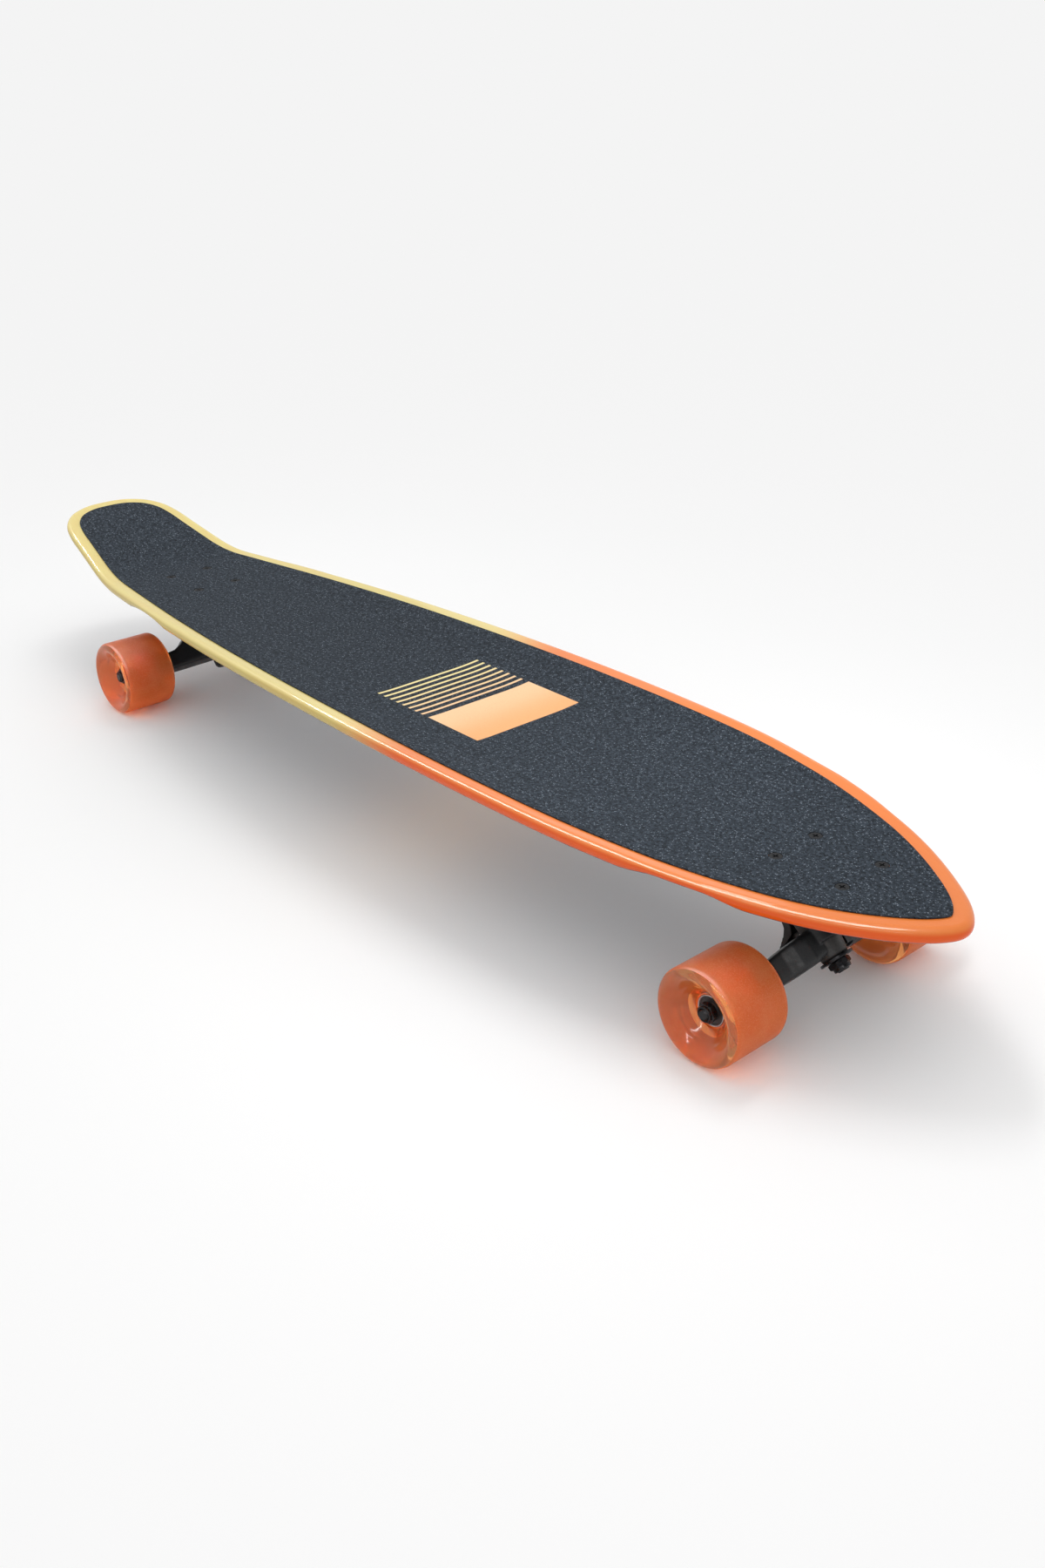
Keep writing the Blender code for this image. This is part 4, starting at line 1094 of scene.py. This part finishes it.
# Painted shade: a near black for the walls of the deck's bolt holes, where shade falls.
hole_painted_shade = metal_material("hole_painted_shade", (0.008, 0.007, 0.006), (0.003, 0.003, 0.003),
    0.80, 900.0, 0.02 * MM)
rubber = metal_material("rubber", (0.026, 0.026, 0.027), (0.010, 0.010, 0.011),
    0.72, 1500.0, 0.08 * MM)
bushing_black = metal_material("bushing_urethane", (0.045, 0.041, 0.038), (0.028, 0.026, 0.025),
    0.46, 700.0, 0.02 * MM)
core_plastic = metal_material("core_plastic", (0.74, 0.17, 0.035), (0.60, 0.11, 0.022),
    0.34, 900.0, 0.02 * MM)
urethane_tread = urethane_material("urethane_tread", 0.46, 0.40, 0.14 * MM,
    (0.78, 0.125, 0.012), (0.74, 0.140, 0.020), 0.34, 0.15)
urethane_face = urethane_material("urethane_face", 0.09, 0.82, 0.02 * MM,
    (0.92, 0.30, 0.06), (0.92, 0.38, 0.11), 0.0, 0.4)


# --- Assembly

# The bolt holes' walls take the painted shade.
deck = two_materials(deck_mesh(), paint, hole_painted_shade, in_bolt_hole)
add_piece("deck_body", deck, paint, "board", replaces=["deck"])
add_piece("grip_sheet", grip_mesh(), grip, "board", replaces=["grip_tape"])

baseplate = baseplate_mesh()
riser = riser_mesh()
hanger = hanger_mesh()
mount_bolt = mount_bolt_mesh()
mount_nut = lock_nut("mount_nut", MOUNT_NUT_FLATS, BOLT_RADIUS, 5.5 * MM, 1.6 * MM)
kingpin = kingpin_mesh()
kingpin_nut = lock_nut("kingpin_nut", KINGPIN_NUT_FLATS, KINGPIN_RADIUS, KINGPIN_NUT_HEIGHT, 2.6 * MM)
cup_washer = cup_washer_mesh()
pivot_cup = cup_mesh()
axle = axle_mesh()
axle_nut = lock_nut("axle_nut", AXLE_NUT_FLATS, AXLE_RADIUS, AXLE_NUT_HEIGHT, 1.8 * MM)
speed_ring = ring("speed_ring", AXLE_RADIUS + 0.1 * MM, 6.1 * MM, 0.0, SPEED_RING)
spacer = ring("spacer", AXLE_RADIUS + 0.1 * MM, 5.4 * MM, INNER_BEARING_Y + BEARING_WIDTH + 0.1 * MM,
    OUTER_BEARING_Y - 0.1 * MM)
tyre = two_materials(tyre_mesh(), urethane_tread, urethane_face, in_dish)
core = core_mesh()
races = races_mesh()
shield = shield_mesh()


def up(height):
    """Up the kingpin from the hanger ring."""
    return Matrix.Translation((0.0, 0.0, height))


def down(height):
    """Down the kingpin from the hanger ring, upside down."""
    return Matrix.Translation((0.0, 0.0, -height)) @ FLIP


def add_bushing(end, name, waist, place, seat):
    """A bushing between the hanger's ring and its washer, baked in place at rest."""
    mesh = carried(bushing_mesh(name, waist), steer_frame(end) @ place)
    piece = new_object(f"{name}_{end}_urethane", mesh)
    mesh.materials.append(bushing_black)
    washer_end = steer_frame(end) @ Vector((0.0, 0.0, math.copysign(WASHER_START, seat)))
    ring_end = steer_frame(end) @ Vector((0.0, 0.0, math.copysign(BUSHING_START, seat)))
    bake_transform(piece)
    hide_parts(f"{name}_{end}")


def add_wheel(end, side):
    """One wheel, with its bearings, spacer, speed rings and axle nut."""
    outward = 1.0 if side == "left" else -1.0
    place = Matrix.Translation(centre(f"axle_{end}")) @ Matrix.Rotation(
        math.radians(-90 * outward), 4, "X")
    wheel, truck, tag = f"wheel_{end}_{side}", f"truck_{end}", f"{end}_{side}"
    add_piece(f"tyre_{tag}_urethane", tyre, urethane_tread, wheel, place,
        [f"tyre_{tag}"])
    add_piece(f"core_{tag}_hub", core, core_plastic, wheel, place, [f"core_{tag}"])
    for which, start in (("inner", INNER_BEARING_Y), ("outer", OUTER_BEARING_Y)):
        seat = place @ up(start)
        add_piece(f"bearing_{which}_{tag}_races", races, race_steel, wheel, seat,
            [f"bearing_{which}_{tag}"])
        add_piece(f"bearing_{which}_{tag}_shields", shield, shield_black, wheel,
            seat)
    add_piece(f"spacer_{tag}", spacer, race_steel, truck, place)
    for which, start in (("inner", HANGER_END + 0.05 * MM),
            ("outer", OUTER_BEARING_Y + BEARING_WIDTH + 0.05 * MM)):
        add_piece(f"speed_ring_{which}_{tag}", speed_ring, black_steel, truck,
            place @ up(start))
    add_piece(f"axle_nut_{tag}_detail", axle_nut, black_steel, truck,
        place @ up(AXLE_NUT_Y), [f"axle_nut_{tag}"])


for end in ENDS:
    truck_place, steer_place = truck_frame(end), steer_frame(end)
    stack = (
        ("baseplate", "casting", baseplate, truck_black, "truck_metal", truck_place),
        ("riser_pad", "sheet", riser, rubber, "rubber", truck_place),
        ("pivot_cup", "moulding", pivot_cup, rubber, "rubber", steer_place @ ALONG_X),
        ("kingpin", "bolt", kingpin, black_steel, "black_steel", steer_place),
        ("kingpin_nut", "detail", kingpin_nut, black_steel, "black_steel",
        steer_place @ down(STACK_END)),
        ("washer_boardside", "cup", cup_washer, black_steel, "black_steel",
        steer_place @ up(WASHER_START)),
        ("washer_roadside", "cup", cup_washer, black_steel, "black_steel",
        steer_place @ down(WASHER_START)))
    for node, kind, mesh, material, slot, place in stack:
        add_piece(f"{node}_{end}_{kind}", mesh, material, "board", place, [f"{node}_{end}"])
    add_bushing(end, "bushing_boardside", 1.0, up(BUSHING_START), 1.0)
    add_bushing(end, "bushing_roadside", 0.84, down(BUSHING_START), -1.0)
    add_piece(f"hanger_{end}_casting", hanger, truck_black, f"truck_{end}",
        steer_place, [f"hanger_{end}"])
    add_piece(f"axle_{end}_rod", axle, black_steel, f"truck_{end}",
        axle_frame(end) @ ALONG_Y, [f"axle_{end}"])
    for side in SIDES:
        add_wheel(end, side)
    for number, (x, y) in BOLT_PLACES.items():
        tag = f"{end}_{number}"
        above = truck_place @ Matrix.Translation((x, y, BOLT_TOP))
        below = truck_place @ Matrix.Translation((x, y, PLATE_BOTTOM - GAP)) @ FLIP
        add_piece(f"mount_bolt_{tag}_screw", mount_bolt, screw_black, "board",
            above, [f"mount_bolt_{tag}"])
        add_piece(f"mount_nut_{tag}_detail", mount_nut, black_steel, "board",
            below, [f"mount_nut_{tag}"])


# --- Floor, light and camera

FLOOR_SIZE = 60.0
PALE = 0.905
STUDIO = 0.94
CAMERA_PLACE = Vector((0.9458, -0.7057, 0.5860))
CAMERA_YAW = math.radians(138.846)
CAMERA_PITCH = math.radians(26.33)
CAMERA_ROLL = math.radians(-0.712)
CAMERA_LENS = 34.27


def add_floor():
    """A large pale floor."""
    shape = bmesh.new()
    bmesh.ops.create_grid(shape, x_segments=1, y_segments=1, size=FLOOR_SIZE / 2)
    floor = new_object("floor", to_mesh(shape, "floor"))
    made = Surface("floor", 0.9, Specular_IOR_Level=0.0)
    made.paint((PALE / STUDIO, PALE / STUDIO, PALE / STUDIO))
    floor.data.materials.append(made.material)


def add_area(name, place, aim, width, height, power_watts, shine_only=False):
    """A soft rectangular light that looks at a point, or one that only shows in glossy surfaces."""
    data = bpy.data.lights.new(name, "AREA")
    data.shape = "RECTANGLE"
    data.size = width
    data.size_y = height
    data.energy = power_watts
    light = new_object(name, data)
    light.location = place
    light.visible_diffuse = not shine_only
    light.rotation_euler = (Vector(aim) - Vector(place)).to_track_quat("-Z", "Y").to_euler()


def add_world():
    """A white studio all round, shown to the camera in the floor's own tone."""
    world = bpy.data.worlds.new("studio")
    bpy.context.scene.world = world
    world.use_nodes = True
    tree = world.node_tree
    background = tree.nodes["Background"]
    background.inputs["Color"].default_value = (1.0, 1.0, 1.0, 1.0)
    seen = tree.nodes.new("ShaderNodeLightPath")
    tone = tree.nodes.new("ShaderNodeMix")
    tone.data_type = "FLOAT"
    tone.inputs[2].default_value = STUDIO
    tone.inputs[3].default_value = PALE
    tree.links.new(seen.outputs["Is Camera Ray"], tone.inputs[0])
    tree.links.new(tone.outputs[0], background.inputs["Strength"])


def add_camera():
    """The photograph's view."""
    data = bpy.data.cameras.new("camera")
    data.lens = CAMERA_LENS
    data.sensor_width = 36.0
    data.clip_end = 200.0
    camera = new_object("camera", data)
    camera.matrix_world = (Matrix.Translation(CAMERA_PLACE)
        @ Matrix.Rotation(CAMERA_YAW - math.pi / 2, 4, "Z")
        @ Matrix.Rotation(math.pi / 2 - CAMERA_PITCH, 4, "X")
        @ Matrix.Rotation(CAMERA_ROLL, 4, "Z"))
    bpy.context.scene.camera = camera


add_floor()
add_world()
add_area("overhead", (0.2, 0.3, 1.7), (0.1, 0.0, 0.1), 1.6, 1.2, 0.3)
add_area("front_glow", (0.30, 0.03, 0.46), (0.28, 0.02, 0.1), 0.20, 0.08, 0.62)
add_area("tail_glow", (-0.46, 0.03, 0.50), (-0.44, 0.02, 0.1), 0.16, 0.08, 0.28)
add_area("near_strip", (1.0, -1.6, 1.5), (0.25, 0.0, 0.1), 2.2, 0.12, 12.0, True)
add_area("rail_strip", (-0.35, -0.30, 1.2), (-0.35, -0.26, 0.0), 2.4, 0.45, 90.0, True)
add_area("far_sheen", (-0.8, 1.0, 0.8), (0.2, 0.0, 0.1), 0.9, 0.6, 1.5, True)
add_camera()
bpy.context.scene.view_settings.view_transform = "Standard"
